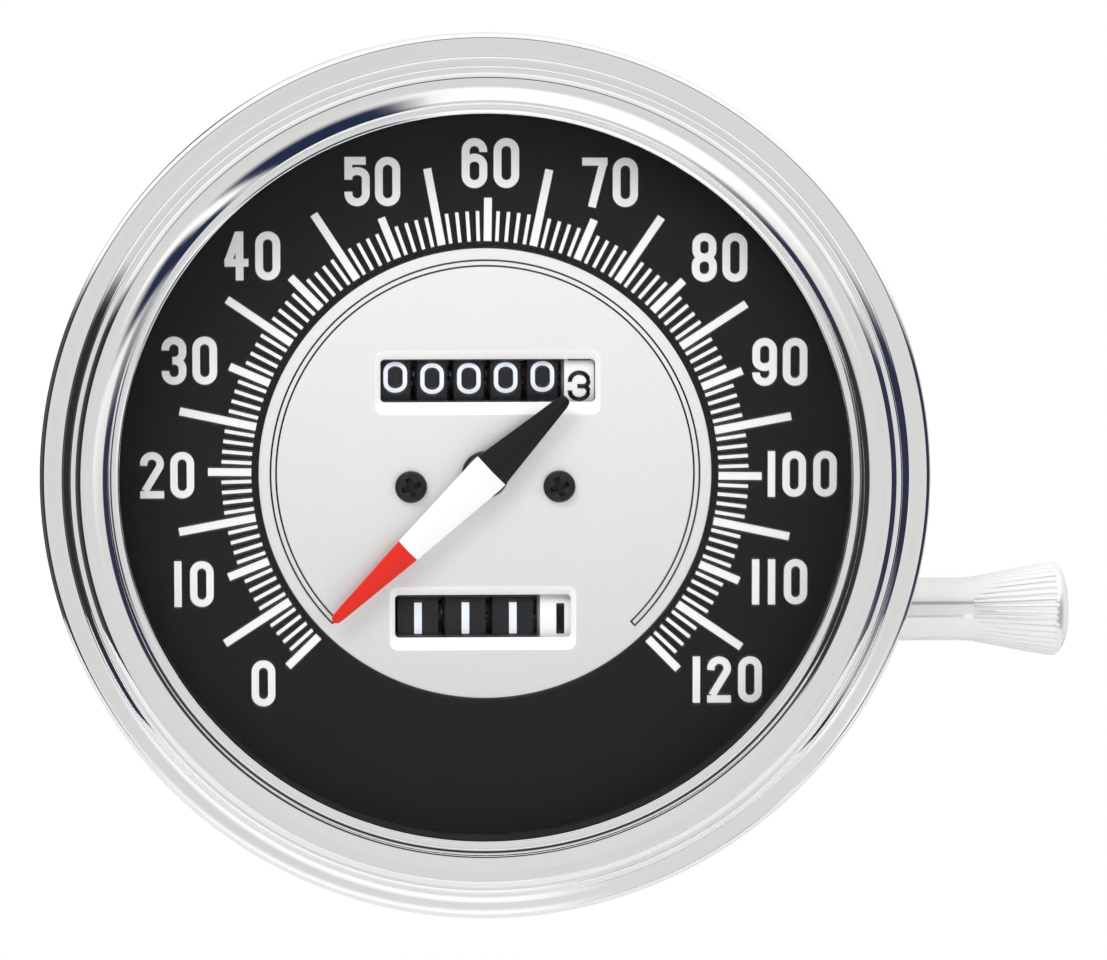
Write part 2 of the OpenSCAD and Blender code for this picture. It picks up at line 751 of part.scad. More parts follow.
module lamp_bulbs() {
  color("lightyellow") upright() both_sides(lamp_x) translate([0, lamp_y, 0]) {
    bar_z(bulb_r, -lamp_len + lamp_floor, bulb_top - bulb_r);
    intersection() {
      translate([0, 0, bulb_top - bulb_r]) sphere(r = bulb_r);
      bar_z(bulb_r + cut, bulb_top - bulb_r - join, bulb_top + cut);
    }
  }
}

// Ridged pointer on a round boss; it lies over the zero mark
module pointer() {
  // Distance from the axis toward the tip, and the width there
  stations = [
    [-tail_len, 1.6], [0, tail_w], [pointer_len / 2, 3.8], [pointer_len - 0.5, 1.3], [pointer_len, 0.7]
  ];
  last = len(stations) - 1;
  section = function(w) [
    [-w / 2, 0], [w / 2, 0], [w / 2, pointer_edge_h],
    [0, pointer_edge_h + (pointer_ridge_h - pointer_edge_h) * min(1, w / 3)], [-w / 2, pointer_edge_h]
  ];
  points = [for (s = stations) for (p = section(s[1])) [s[0], p[0], p[1]]];
  walls = [
    for (i = [0 : last - 1]) for (k = [0 : 4])
      let (a = 5 * i + k, b = 5 * i + (k + 1) % 5) each [[a, b + 5, b], [a, a + 5, b + 5]]
  ];
  ends = [for (k = [1 : 3]) each [[0, k, k + 1], [5 * last, 5 * last + k + 1, 5 * last + k]]];
  color("white") upright() difference() {
    union() {
      rotate([0, 0, zero_angle]) translate([0, 0, pointer_z]) polyhedron(points, concat(walls, ends));
      bar_z(pointer_boss_r, pointer_z, pointer_z + pointer_boss_h);
    }
    bar_z(staff_r, pointer_z - cut, pointer_z + cut);
  }
}

module pointer_hub() {
  color("dimgray") upright() tube_z(hub_r, staff_r, hub_z, pointer_z);
}

// Staff with its hairspring collet and the arm that meets the zero stop
module pointer_staff() {
  color("silver") upright() {
    bar_z(staff_r, staff_z, pointer_z + cut);
    bar_z(collet_r, bridge_top + collet_gap, spring_z + spring_h + collet_gap);
    rotate([0, 0, zero_angle + stop_lead - stop_clear]) translate([0, -stop_arm_w / 2, stop_z])
      cube([stop_r + stop_arm_w, stop_arm_w, stop_arm_t]);
  }
}

module drag_cup() {
  color("lightgray") upright() difference() {
    bar_z(cup_r, magnet_z + pass, cup_top_z + cup_t);
    bar_z(cup_r - cup_wall, magnet_z, cup_top_z);
    bar_z(staff_r, cup_top_z - cut, cup_top_z + cup_t + cut);
  }
}

// Drive shaft: square socket for the cable, bearing, worm, and the seat of the magnet
module input_shaft() {
  color("silver") upright() difference() {
    union() {
      bar_z(input_shaft_r, bush_z0, base_top + magnet_seat_t);
      bar_z(input_worm_r - worm_ded, base_top + magnet_seat_t - join, magnet_z - magnet_seat_t + join);
      translate([0, 0, counter_z]) worm_thread(input_worm_r);
      bar_z(magnet_seat_r, magnet_z - magnet_seat_t, magnet_z);
      bar_z(magnet_bore_r, magnet_z - join, shaft_top);
    }
    translate([-socket_w / 2, -socket_w / 2, bush_z0 - cut]) cube([socket_w, socket_w, socket_depth + cut]);
    bar_z(staff_r + run, staff_z - side_gap, shaft_top + cut);
  }
}

module magnet() {
  color("slategray") upright() tube_z(magnet_r, magnet_bore_r, magnet_z, magnet_z + magnet_t);
}

// Countershaft with the wheel on the input worm and the first spur gear
module countershaft() {
  color("goldenrod") upright() translate([counter_x, 0, counter_z]) {
    bar_y(counter_shaft_r, bracket_y0 - shaft_end_over, counter_post_y1 + shaft_end_over);
    bar_y(counter_body_r, bracket_y1 + side_gap, counter_post_y0 - side_gap);
    translate([0, wheel_y1, 0]) along_y(wheel_w) wheel_outline(input_teeth, input_wheel_r, 0);
    translate([0, spur_y1, 0]) along_y(spur_w) spur_outline(spur_line + 180 / spur_teeth);
  }
}

module idler_gear() {
  color("goldenrod") upright() translate([idler_x, 0, idler_z]) difference() {
    union() {
      translate([0, spur_y1, 0]) along_y(spur_w) spur_outline(spur_line);
      bar_y(collar_r, bracket_y1 + side_gap, spur_y0 + join);
    }
    bar_y(idler_stud_r + run, bracket_y0 - cut, spur_y1 + cut);
  }
}

// Cross shaft with its spur gear, a worm under each counter's drive gear and two collars
module cross_shaft() {
  color("silver") upright() translate([cross_x, 0, cross_z]) {
    bar_y(cross_shaft_r, side_y0 - shaft_end_over, lug_y + lug_t + shaft_end_over);
    for (y = [side_y0 + lug_t + side_gap, lug_y - side_gap - collar_w]) bar_y(collar_r, y, y + collar_w);
    translate([0, spur_y1, 0]) along_y(spur_w) spur_outline(spur_line + 180 / spur_teeth);
    bar_y(collar_r, bracket_y1 + side_gap, spur_y0 + join);
    for (y = [odo_y, -trip_y]) translate([0, y, 0]) {
      bar_y(cross_worm_r - worm_ded, -worm_len / 2 - worm_seat, worm_len / 2 + worm_seat);
      rotate([-90, 0, 0]) rotate([0, 0, -90]) worm_thread(cross_worm_r);
    }
  }
}

module odometer_shaft() {
  color("silver") upright() translate([0, odo_y, drum_z]) {
    bar_x(drum_shaft_r, -drum_shaft_end - shaft_end_over, cross_x + gear_w);
    bar_x(shaft_collar_r, -side_out - side_gap - collar_w, -side_out - side_gap);
  }
}

// Worm wheel of a counter with its hub against the side plate
module drive_gear(bore_r) {
  difference() {
    union() {
      translate([cross_x - gear_w / 2, 0, 0]) along_x(gear_w)
        wheel_outline(drive_teeth, drive_wheel_r, 180 / drive_teeth);
      bar_x(bore_r + gear_hub, side_out + side_gap, cross_x);
    }
    bar_x(bore_r, side_out - cut, cross_x + gear_w);
  }
}
module odo_drive_gear() {
  color("goldenrod") upright() translate([0, odo_y, drum_z]) drive_gear(drum_shaft_r);
}
module trip_drive_gear() {
  color("goldenrod") upright() translate([0, -trip_y, drum_z]) drive_gear(hub_tube_r);
}

// Number drum centred on x, w wide. The right end carries the ring gear,
// the left end the notched carry disc.
// mesh is the angle of the carry pinion round the drum, in y and z.
module drum(x, w, bore_r, mesh, has_ring, has_disc, left_hub, right_hub) {
  x0 = x - w / 2;
  x1 = x + w / 2;
  difference() {
    union() {
      difference() {
        bar_x(drum_r, x0, x1);
        bar_x(drum_r - drum_rim, x0 - cut, x1 - drum_web);
      }
      bar_x(hub_tube_r, left_hub, right_hub);
      if (has_ring) translate([x1 - join, 0, 0])
        along_x(ring_w + join) ring_outline(mesh + 180 / ring_teeth);
      if (has_disc) bar_x(carry_disc_r, x0 - carry_disc_w, x0 + ring_w);
    }
    bar_x(bore_r, left_hub - cut, right_hub + cut);
    if (has_disc) translate([x0 - cut, 0, 0]) rotate([mesh, 0, 0])
      translate([0, carry_disc_r - carry_notch / 2, -carry_notch / 2]) cube([2 * cut, carry_notch, carry_notch]);
  }
}
// Centre of drum i, counted from 0 at the right
function odo_x(i) = odo_mid_x + odo_pitch * ((odo_count - 1) / 2 - i);
function trip_x(i) = trip_mid_x + trip_pitch * ((trip_count - 1) / 2 - i);

module odo_drum(i) {
  w = odo_pitch - rim_gap;
  x = odo_x(i);
  left = i == odo_count - 1 ? -side_x + side_gap : x - w / 2 - carry_disc_w;
  right = i == 0 ? side_x - side_gap : x + w / 2 + ring_w;
  color(i == 0 ? "white" : "black") upright() translate([0, odo_y, drum_z])
    drum(x, w, drum_shaft_r + (i == 0 ? 0 : run), -90 + pinion_tilt, i > 0, i < odo_count - 1, left, right);
}
module trip_drum(i) {
  w = trip_pitch - rim_gap;
  x = trip_x(i);
  left = i == trip_count - 1 ? -side_x + side_gap : x - w / 2 - carry_disc_w;
  right = i == 0 ? cross_x + gear_w / 2 + side_gap : x + w / 2 + ring_w;
  color(i == 0 ? "white" : "black") upright() translate([0, -trip_y, drum_z])
    drum(x, w, drum_shaft_r + run, -90 - pinion_tilt, i > 0, i < trip_count - 1, left, right);
}
module odo_drum_tenths() { odo_drum(0); }
module odo_drum_units() { odo_drum(1); }
module odo_drum_tens() { odo_drum(2); }
module odo_drum_hundreds() { odo_drum(3); }
module odo_drum_thousands() { odo_drum(4); }
module odo_drum_ten_thousands() { odo_drum(5); }
module trip_drum_tenths() { trip_drum(0); }
module trip_drum_units() { trip_drum(1); }
module trip_drum_tens() { trip_drum(2); }
module trip_drum_hundreds() { trip_drum(3); }

// Carry pinion in the gap right of the drum centred on x, with a tooth on the line of centres
module carry_pinion(y, x, pitch) {
  tooth = 90 + sign(y) * pinion_tilt;
  color([0.1, 0.1, 0.1]) upright() rotate([90, 0, 90]) carry_point(y)
    translate([0, 0, x + pitch / 2 - pinion_w / 2]) difference() {
      linear_extrude(pinion_w) pinion_outline(tooth);
      bar_z(pinion_shaft_r + run, -cut, pinion_w + cut);
    }
}
module odo_pinion_units() { carry_pinion(odo_y, odo_x(1), odo_pitch); }
module odo_pinion_tens() { carry_pinion(odo_y, odo_x(2), odo_pitch); }
module odo_pinion_hundreds() { carry_pinion(odo_y, odo_x(3), odo_pitch); }
module odo_pinion_thousands() { carry_pinion(odo_y, odo_x(4), odo_pitch); }
module odo_pinion_ten_thousands() { carry_pinion(odo_y, odo_x(5), odo_pitch); }
module trip_pinion_units() { carry_pinion(-trip_y, trip_x(1), trip_pitch); }
module trip_pinion_tens() { carry_pinion(-trip_y, trip_x(2), trip_pitch); }
module trip_pinion_hundreds() { carry_pinion(-trip_y, trip_x(3), trip_pitch); }

// Long shaft through the trip drums and the can's wall into the reset knob
module trip_shaft() {
  color("silver") upright() translate([0, -trip_y, drum_z]) {
    bar_x(drum_shaft_r, -drum_shaft_end - shaft_end_over, reset_shaft_end);
    bar_x(shaft_collar_r, -side_out - side_gap - collar_w, -side_out - side_gap);
    bar_x(shaft_collar_r, trip_collar_x, trip_collar_x + collar_w);
  }
}

// Chrome knob: plain stem, flare with V-shaped flutes and a domed end
module reset_knob() {
  flare = knob_x1 - knob_dome - knob_x0;
  slope = atan2(knob_r - stem_r, flare);
  color("gainsboro") upright() translate([0, -trip_y, drum_z]) difference() {
    rotate([0, 90, 0]) rotate_extrude() polygon(concat(
      [[drum_shaft_r, stem_x], [stem_r, stem_x], [stem_r, knob_x0]],
      [for (i = [0 : 7]) [knob_r * cos(i * 12), knob_x1 - knob_dome + knob_dome * sin(i * 12)]],
      [[0, knob_x1], [0, reset_shaft_end], [drum_shaft_r, reset_shaft_end]]));
    for (i = [0 : knob_flutes - 1]) rotate([i * 360 / knob_flutes, 0, 0])
      translate([knob_x0, 0, stem_r]) rotate([0, -slope, 0]) rotate([45, 0, 0])
        translate([flute_start, -flute_w / 2, -flute_w / 2]) cube([flare, flute_w, flute_w]);
    translate([set_screw_x, 0, 0]) bar_z(set_screw_r, -stem_r - cut, 0);
  }
}

module knob_set_screw() {
  color("dimgray") upright() translate([set_screw_x, -trip_y, drum_z]) difference() {
    bar_z(set_screw_r, -stem_r + set_screw_sink, -drum_shaft_r);
    translate([-set_screw_r - cut, -set_screw_slot / 2, -stem_r - cut])
      cube([2 * set_screw_r + 2 * cut, set_screw_slot, set_screw_sink + set_screw_slot + cut]);
  }
}

case_can();
bezel();
lens();
lens_gasket();
spacer_ring();
dial_plate();
dial_screws();
dial_posts();
frame_base();
side_plate_left();
side_plate_right();
bridge_plate();
train_bracket();
drive_boss();
input_bush();
staff_jewel();
field_plate();
hairspring();
odo_pinion_shaft();
trip_pinion_shaft();
idler_stud();
reset_bush();
mounting_studs();
frame_screws();
lamp_shells();
lamp_bulbs();
pointer();
pointer_hub();
pointer_staff();
drag_cup();
input_shaft();
magnet();
countershaft();
idler_gear();
cross_shaft();
odometer_shaft();
odo_drive_gear();
odo_drum_tenths();
odo_drum_units();
odo_drum_tens();
odo_drum_hundreds();
odo_drum_thousands();
odo_drum_ten_thousands();
odo_pinion_units();
odo_pinion_tens();
odo_pinion_hundreds();
odo_pinion_thousands();
odo_pinion_ten_thousands();
trip_shaft();
reset_knob();
knob_set_screw();
trip_drive_gear();
trip_drum_tenths();
trip_drum_units();
trip_drum_tens();
trip_drum_hundreds();
trip_pinion_units();
trip_pinion_tens();
trip_pinion_hundreds();
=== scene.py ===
import json
import math

import bpy
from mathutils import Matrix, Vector

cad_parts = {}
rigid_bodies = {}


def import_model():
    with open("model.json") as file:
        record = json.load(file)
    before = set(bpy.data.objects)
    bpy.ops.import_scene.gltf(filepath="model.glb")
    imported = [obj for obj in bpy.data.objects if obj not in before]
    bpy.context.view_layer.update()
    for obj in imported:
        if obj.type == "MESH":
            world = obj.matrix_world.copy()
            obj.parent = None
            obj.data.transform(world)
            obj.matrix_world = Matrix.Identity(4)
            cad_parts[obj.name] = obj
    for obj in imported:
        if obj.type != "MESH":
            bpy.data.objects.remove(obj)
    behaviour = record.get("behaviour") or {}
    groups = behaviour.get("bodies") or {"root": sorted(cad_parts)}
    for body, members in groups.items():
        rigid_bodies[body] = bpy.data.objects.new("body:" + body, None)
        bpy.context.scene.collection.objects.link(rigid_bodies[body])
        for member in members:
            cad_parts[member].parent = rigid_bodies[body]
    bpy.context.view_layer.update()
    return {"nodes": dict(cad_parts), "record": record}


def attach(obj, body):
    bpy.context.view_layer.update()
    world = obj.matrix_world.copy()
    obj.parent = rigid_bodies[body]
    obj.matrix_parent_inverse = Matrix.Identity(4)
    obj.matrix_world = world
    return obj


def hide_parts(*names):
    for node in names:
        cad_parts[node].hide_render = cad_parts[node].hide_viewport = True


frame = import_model()
RECORD = frame["record"]

# Lengths below are in millimetres, in the axes the part's source is drawn in:
# x to the right, y toward 12 o'clock, z toward the viewer.
MM = 0.001
DIAL_TOP = 46.0
DRUM_AXIS_Z = 35.2
DRUM_R = 9.5
ODO_Y = 13.4
TRIP_Y = -21.4
LENS_TOP = 52.8
POINTER_Z = 48.4
POINTER_REST = 223.8
SCALE_ZERO = 224.35


def at(x, y, z):
    """A point in drawing axes, as a point of the frame in metres."""
    return Vector((x, -z, y)) * MM


# Camera, light and surroundings
def studio():
    scene = bpy.context.scene
    scene.view_settings.view_transform = "Standard"

    lift, aside = math.radians(7.0), math.radians(1.8)
    aim = at(9.78, -0.78, 47.0)
    toward = Vector((-math.sin(aside) * math.cos(lift), -math.cos(aside) * math.cos(lift), math.sin(lift)))
    bpy.ops.object.camera_add(location=aim + toward * 0.9)
    camera = bpy.context.object
    camera.rotation_euler = (math.pi / 2 - lift, 0, -aside)
    camera.data.sensor_width = 36
    camera.data.lens = 204
    scene.camera = camera

    def softbox(name, place, size, watts):
        bpy.ops.object.light_add(type="AREA", location=place)
        lamp = bpy.context.object
        lamp.name = name
        lamp.rotation_euler = (at(0, 0, 45) - Vector(place)).to_track_quat("-Z", "Y").to_euler()
        lamp.data.shape = "DISK"
        lamp.data.size = size
        lamp.data.energy = watts
        lamp.visible_glossy = False

    softbox("key_softbox", (-0.35, -0.65, 0.65), 0.5, 5.0)
    softbox("fill_softbox", (0.6, -0.6, 0.1), 0.6, 1.6)
    softbox("back_softbox", (0.2, 0.8, 0.5), 0.5, 2.5)

    bpy.ops.mesh.primitive_circle_add(vertices=96, radius=0.36, fill_type="NGON", location=(0, 0, -0.16))
    floor = bpy.context.object
    floor.name = "studio_floor"
    floor.data.materials.append(plain_floor())
    rest()


def plain_floor():
    mat = bpy.data.materials.new("pale_floor")
    mat.use_nodes = True
    shader = mat.node_tree.nodes["Principled BSDF"]
    shader.inputs["Base Color"].default_value = (0.86, 0.86, 0.86, 1)
    shader.inputs["Roughness"].default_value = 0.9
    return mat


def surroundings():
    """White behind the object, bright and dark panels for what mirrors, and plain light for the rest."""
    world = bpy.data.worlds.new("studio")
    bpy.context.scene.world = world
    world.use_nodes = True
    tree = world.node_tree
    tree.nodes.clear()
    node = tree.nodes.new
    link = tree.links.new
    coords = node("ShaderNodeTexCoord")
    split = node("ShaderNodeSeparateXYZ")
    link(coords.outputs["Generated"], split.inputs[0])

    def sum_of(kind, a, b, c=None):
        made = node("ShaderNodeMath")
        made.operation = kind
        for i, value in enumerate((a, b, c)):
            if value is None:
                continue
            if isinstance(value, (int, float)):
                made.inputs[i].default_value = value
            else:
                link(value, made.inputs[i])
        return made.outputs[0]

    def ramp_of(source, stops):
        made = node("ShaderNodeValToRGB")
        fill_ramp(made, stops)
        link(source, made.inputs[0])
        return made.outputs[0]

    # how far a direction lies from straight in front of the dial, as a share of half a turn, and where round
    # the dial it lies, as a share of a turn from 9 o'clock
    forward = sum_of("MULTIPLY", split.outputs["Y"], -1.0)
    off_axis = sum_of("DIVIDE", sum_of("ARCCOSINE", forward, None), math.pi)
    clock = sum_of("ARCTAN2", split.outputs["Z"], split.outputs["X"])
    around = sum_of("MULTIPLY_ADD", clock, 0.5 / math.pi, 0.5)

    def panels(stops):
        """Brightness or colour at some degrees from straight in front, 180 being straight behind."""
        return ramp_of(off_axis, [(degrees / 180, value) for degrees, value in stops])

    def sector(stops):
        """How much a panel shows at some degrees round the dial, 0 being 3 o'clock and 90 being 12."""
        return ramp_of(around, [((degrees + 180) / 360, value) for degrees, value in stops])

    navy = (0.02, 0.03, 0.07)
    night = (0.035, 0.038, 0.075)
    right = panels([(0, 0.78), (20.5, 0.78), (23.5, night), (89, night), (120, 0.85), (180, 0.85)])
    above = panels([(0, 0.80), (23, 0.80), (25, 0.05), (34, 0.05), (36.5, 0.80), (58, 1.10), (100, 1.20),
                    (180, 0.90)])
    left = panels([(0, 0.775), (17, 0.775), (21, 0.04), (46, 0.03), (60, 0.08), (110, 0.12), (120, 0.03),
                   (180, 0.03)])
    below = panels([(0, 0.75), (10.9, 0.76), (12.5, 1.15), (25, 1.15), (29, 0.72), (56, 0.50), (59, 0.03),
                    (62, 0.03), (65, 0.75), (90, 0.60), (110, 0.36), (170, 0.34)])
    corner = panels([(0, 0.77), (14, 0.78), (18, navy), (74, navy), (80, 0.78), (180, 0.4)])
    shares = ((above, sector([(8, 0), (20, 1), (156, 1), (166, 0)])),
              (left, sector([(-150, 1), (-132, 0), (158, 0), (166, 1)])),
              (below, sector([(-128, 0), (-112, 1), (-48, 1), (-22, 0)])),
              (corner, sector([(-82, 0), (-77, 1), (-62, 1), (-59, 0),
                               (-56, 0), (-53, 1), (-44, 1), (-40, 0)])))
    view = right
    for panel, part in shares:
        mix = node("ShaderNodeMix")
        mix.data_type = "RGBA"
        link(part, mix.inputs[0])
        link(view, mix.inputs[6])
        link(panel, mix.inputs[7])
        view = mix.outputs[2]

    def light(colour, strength):
        made = node("ShaderNodeBackground")
        made.inputs["Strength"].default_value = strength
        if colour is None:
            made.inputs["Color"].default_value = (1, 1, 1, 1)
        else:
            link(colour, made.inputs["Color"])
        return made.outputs[0]

    def chosen(part, otherwise, this):
        made = node("ShaderNodeMixShader")
        link(part, made.inputs[0])
        link(otherwise, made.inputs[1])
        link(this, made.inputs[2])
        return made.outputs[0]

    # Light Path picks what each ray sees
    path = node("ShaderNodeLightPath")
    seen = sum_of("MAXIMUM", path.outputs["Is Camera Ray"], path.outputs["Is Transmission Ray"])
    room = chosen(path.outputs["Is Glossy Ray"], light(None, 0.60), light(view, 1.0))
    out = node("ShaderNodeOutputWorld")
    link(chosen(seen, room, light(None, 1.0)), out.inputs[0])


WARM_GREY = (1.01, 1.0, 0.975)


def fill_ramp(ramp, stops):
    """Grey or coloured stops of a colour ramp, as (place, value or colour)."""
    elements = ramp.color_ramp.elements
    while len(elements) < len(stops):
        elements.new(0.5)
    for element, (place, value) in zip(elements, stops):
        element.position = place
        colour = [value * share for share in WARM_GREY] if isinstance(value, (int, float)) else value
        element.color = (*colour, 1)


# Modelling by hand
def rest():
    """Leaves edit mode with nothing selected."""
    if bpy.context.mode != "OBJECT":
        bpy.ops.object.mode_set(mode="OBJECT")
    bpy.ops.object.select_all(action="DESELECT")


def sheet_of_paper(name):
    """A new empty mesh at the origin, in edit mode, to draw in."""
    rest()
    bpy.ops.mesh.primitive_plane_add(size=MM)
    piece = bpy.context.object
    piece.name = piece.data.name = name
    bpy.ops.object.mode_set(mode="EDIT")
    bpy.context.tool_settings.mesh_select_mode = (True, False, False)
    bpy.ops.mesh.select_all(action="SELECT")
    bpy.ops.mesh.delete(type="VERT")
    return piece


def draw(points, fill=False):
    """Draws a line from point to point; what it draws is left selected."""
    bpy.ops.mesh.select_all(action="DESELECT")
    bpy.ops.mesh.primitive_plane_add(size=MM, location=points[0])
    bpy.ops.mesh.merge(type="CENTER")
    for here, there in zip(points, points[1:]):
        bpy.ops.mesh.extrude_region_move(TRANSFORM_OT_translate={"value": there - here})
    bpy.ops.mesh.select_linked()
    if fill:
        bpy.ops.mesh.edge_face_add()


def bridged(name, a, b):
    """A strip of faces between two closed loops of equal length."""
    strip = sheet_of_paper(name)
    draw(a + [a[0]])
    draw(b + [b[0]])
    bpy.ops.mesh.select_all(action="SELECT")
    bpy.ops.mesh.remove_doubles(threshold=1e-7)
    bpy.ops.mesh.bridge_edge_loops()
    rest()
    return strip


def close_up():
    """Merges doubles and turns all faces outward."""
    bpy.ops.mesh.select_all(action="SELECT")
    bpy.ops.mesh.remove_doubles(threshold=1e-6)
    bpy.ops.mesh.normals_make_consistent(inside=False)


def pick(piece):
    rest()
    piece.select_set(True)
    bpy.context.view_layer.objects.active = piece


def smooth(piece, degrees=30):
    pick(piece)
    bpy.ops.object.shade_smooth_by_angle(angle=math.radians(degrees))
    rest()


def turned(name, profile, steps=128, centre=None, along_x=False):
    """Turns a profile of (radius, distance along the axis) round the gauge's axis, or round an x axis."""
    piece = sheet_of_paper(name)
    if along_x:
        draw([centre + Vector((d, 0, r)) * MM for r, d in profile])
        axis = (1, 0, 0)
    else:
        centre = centre or Vector((0, 0, 0))
        draw([centre + at(r, 0, d) for r, d in profile])
        axis = (0, 1, 0)
    bpy.ops.mesh.spin(steps=steps, angle=math.tau, center=centre, axis=axis)
    close_up()
    smooth(piece)
    return piece


def apply(piece, kind, **settings):
    """Adds a modifier with these settings and applies it."""
    pick(piece)
    modifier = piece.modifiers.new(kind.lower(), kind)
    for key, value in settings.items():
        setattr(modifier, key, value)
    bpy.ops.object.modifier_apply(modifier=modifier.name)
    rest()


def carve(piece, cutter):
    """Cuts a piece with another one, which goes."""
    apply(piece, "BOOLEAN", object=cutter, operation="DIFFERENCE", solver="EXACT")
    bpy.data.objects.remove(cutter)


def lofted(name, loops, capped=True):
    """Skins closed loops one after the other; both ends are closed, or else the last loop is the first."""
    parts = [bridged("loft", a, b) for a, b in zip(loops, loops[1:])]
    for end in (loops[0], loops[-1]) if capped else ():
        parts.append(sheet_of_paper("end"))
        draw(end, fill=True)
        rest()
    whole = joined(name, parts)
    pick(whole)
    bpy.ops.object.mode_set(mode="EDIT")
    close_up()
    rest()
    return whole


def joined(name, parts):
    """Joins several pieces into one."""
    rest()
    for part in parts:
        part.select_set(True)
    bpy.context.view_layer.objects.active = parts[0]
    if len(parts) > 1:
        bpy.ops.object.join()
    whole = bpy.context.view_layer.objects.active
    whole.name = whole.data.name = name
    rest()
    return whole


def copied(piece):
    twin = piece.copy()
    twin.data = piece.data.copy()
    bpy.context.scene.collection.objects.link(twin)
    return twin


def moved(piece, shift=(0, 0, 0), scale=(1, 1, 1)):
    """Scales a piece about the origin and shifts it, in its mesh."""
    pick(piece)
    piece.scale = scale
    piece.location = shift
    bpy.ops.object.transform_apply(location=True, rotation=True, scale=True)
    rest()
    return piece


# Strokes and figures
def bow(cx, cy, rx, ry, start, end, steps=12):
    """Points of an arc of an ellipse, in degrees."""
    angles = [math.radians(start + (end - start) * i / steps) for i in range(steps + 1)]
    return [(cx + rx * math.cos(a), cy + ry * math.sin(a)) for a in angles]


def refined(path, longest):
    """The path with its long straights cut into short ones."""
    out = [path[0]]
    for (x0, y0), (x1, y1) in zip(path, path[1:]):
        pieces = max(1, math.ceil(math.hypot(x1 - x0, y1 - y0) / longest))
        out += [(x0 + (x1 - x0) * i / pieces, y0 + (y1 - y0) * i / pieces) for i in range(1, pieces + 1)]
    return out


def edges_of_stroke(path, width, closed):
    """The left and right edge of a stroke of even width along a path."""
    left, right = [], []
    last = len(path) - 1
    for i, (x, y) in enumerate(path):
        before = path[i - 1] if i > 0 else (path[last - 1] if closed else path[0])
        after = path[i + 1] if i < last else (path[1] if closed else path[last])
        dx0, dy0 = x - before[0], y - before[1]
        dx1, dy1 = after[0] - x, after[1] - y
        n0, n1 = math.hypot(dx0, dy0) or 1, math.hypot(dx1, dy1) or 1
        dx, dy = dx0 / n0 + dx1 / n1, dy0 / n0 + dy1 / n1
        n = math.hypot(dx, dy)
        dx, dy = dx / n, dy / n
        # a mitre keeps the width where the path turns
        turn = max(0.5, (dx * (dx1 / n1 or dx0 / n0) + dy * (dy1 / n1 or dy0 / n0)))
        half = width / 2 / turn if 0 < i < last or closed else width / 2
        left.append((x - dy * half, y + dx * half))
        right.append((x + dy * half, y - dx * half))
    return left, right


def stroke(path, width, closed=False, longest=9.0):
    """A flat ribbon along a path, in the dial's plane at z 0."""
    left, right = edges_of_stroke(refined(path, longest), width, closed)
    piece = sheet_of_paper("stroke")
    draw([at(x, y, 0) for x, y in left])
    draw([at(x, y, 0) for x, y in right])
    bpy.ops.mesh.select_all(action="SELECT")
    bpy.ops.mesh.remove_doubles(threshold=1e-7)
    bpy.ops.mesh.bridge_edge_loops()
    rest()
    return piece


def figure_strokes(n, w, h, s, ends=0.5):
    """Centre lines of figure n in a box w wide and h high, for a pen s wide: (path, closed)."""
    a, b = (w - s) / 2, (h - s) / 2
    r = min(a, b * ends)
    e = s / 2
    stadium = bow(0, b - r, a, r, 0, 180) + bow(0, r - b, a, r, 180, 360) + [(a, b - r)]
    if n == 0:
        return [(stadium, True)]
    if n == 1:
        return [([(0, b + e), (0, -b - e)], False)]
    if n == 2:
        top = bow(0, b - r, a, r, 185, -25)
        return [([(-a, b - r - 0.25 * s)] + top[1:] + [(-a * 0.86, -b + e)], False),
                ([(-a - e, -b), (a + e, -b)], False)]
    if n == 3:
        q = b / 2
        turn = q * 0.8
        upper = [(-a, b - r - 0.2 * s)] + bow(0, b - r, a, r, 180, 0) + bow(a - turn, turn, turn, turn, 0, -90)
        lower = [(x, -y) for x, y in upper]
        end = [(-0.2 * a, 0)]
        return [(upper + end, False), (lower + end, False)]
    if n == 4:
        bar = -b * 0.33
        up = a * 0.42
        return [([(up, b + e), (up, -b - e)], False),
                ([(-a - e * 0.7, bar), (a + e, bar)], False),
                ([(up - 0.1 * s, b + e * 0.6), (-a + e * 0.1, bar)], False)]
    if n == 5:
        mid = b * 0.32
        return [([(-a, b + e), (-a, mid - 0.6 * s)], False), ([(-a - e, b), (a, b)], False),
                (bow(0, mid - r * 0.35, a, r * 0.8, 165, 0) + bow(0, r - b, a, r, 0, -180)
                 + [(-a, r - b + 0.25 * s)], False)]
    if n in (6, 9):
        lower = bow(0, 0.18 * b - r * 0.7, a, r * 0.9, 0, 180) + bow(0, r - b, a, r, 180, 360)
        lower.append(lower[0])
        stem = [(a, b - r - 0.15 * s)] + bow(0, b - r, a, r, 0, 180) + [(-a, r - b)]
        strokes = [(lower, True), (stem, False)]
        return strokes if n == 6 else [([(-x, -y) for x, y in path], c) for path, c in strokes]
    if n == 7:
        return [([(-a - e, b), (a + e, b)], False), ([(a, b), (-a * 0.35, -b - e)], False)]
    upper = bow(0, b - r * 0.9, a * 0.94, r * 0.9, 0, 180) + bow(0, r * 0.85, a * 0.94, r * 0.85, 180, 360)
    lower = bow(0, -r * 0.9, a, r * 0.9, 0, 180) + bow(0, r - b, a, r, 180, 360)
    return [(upper + [upper[0]], True), (lower + [lower[0]], True)]


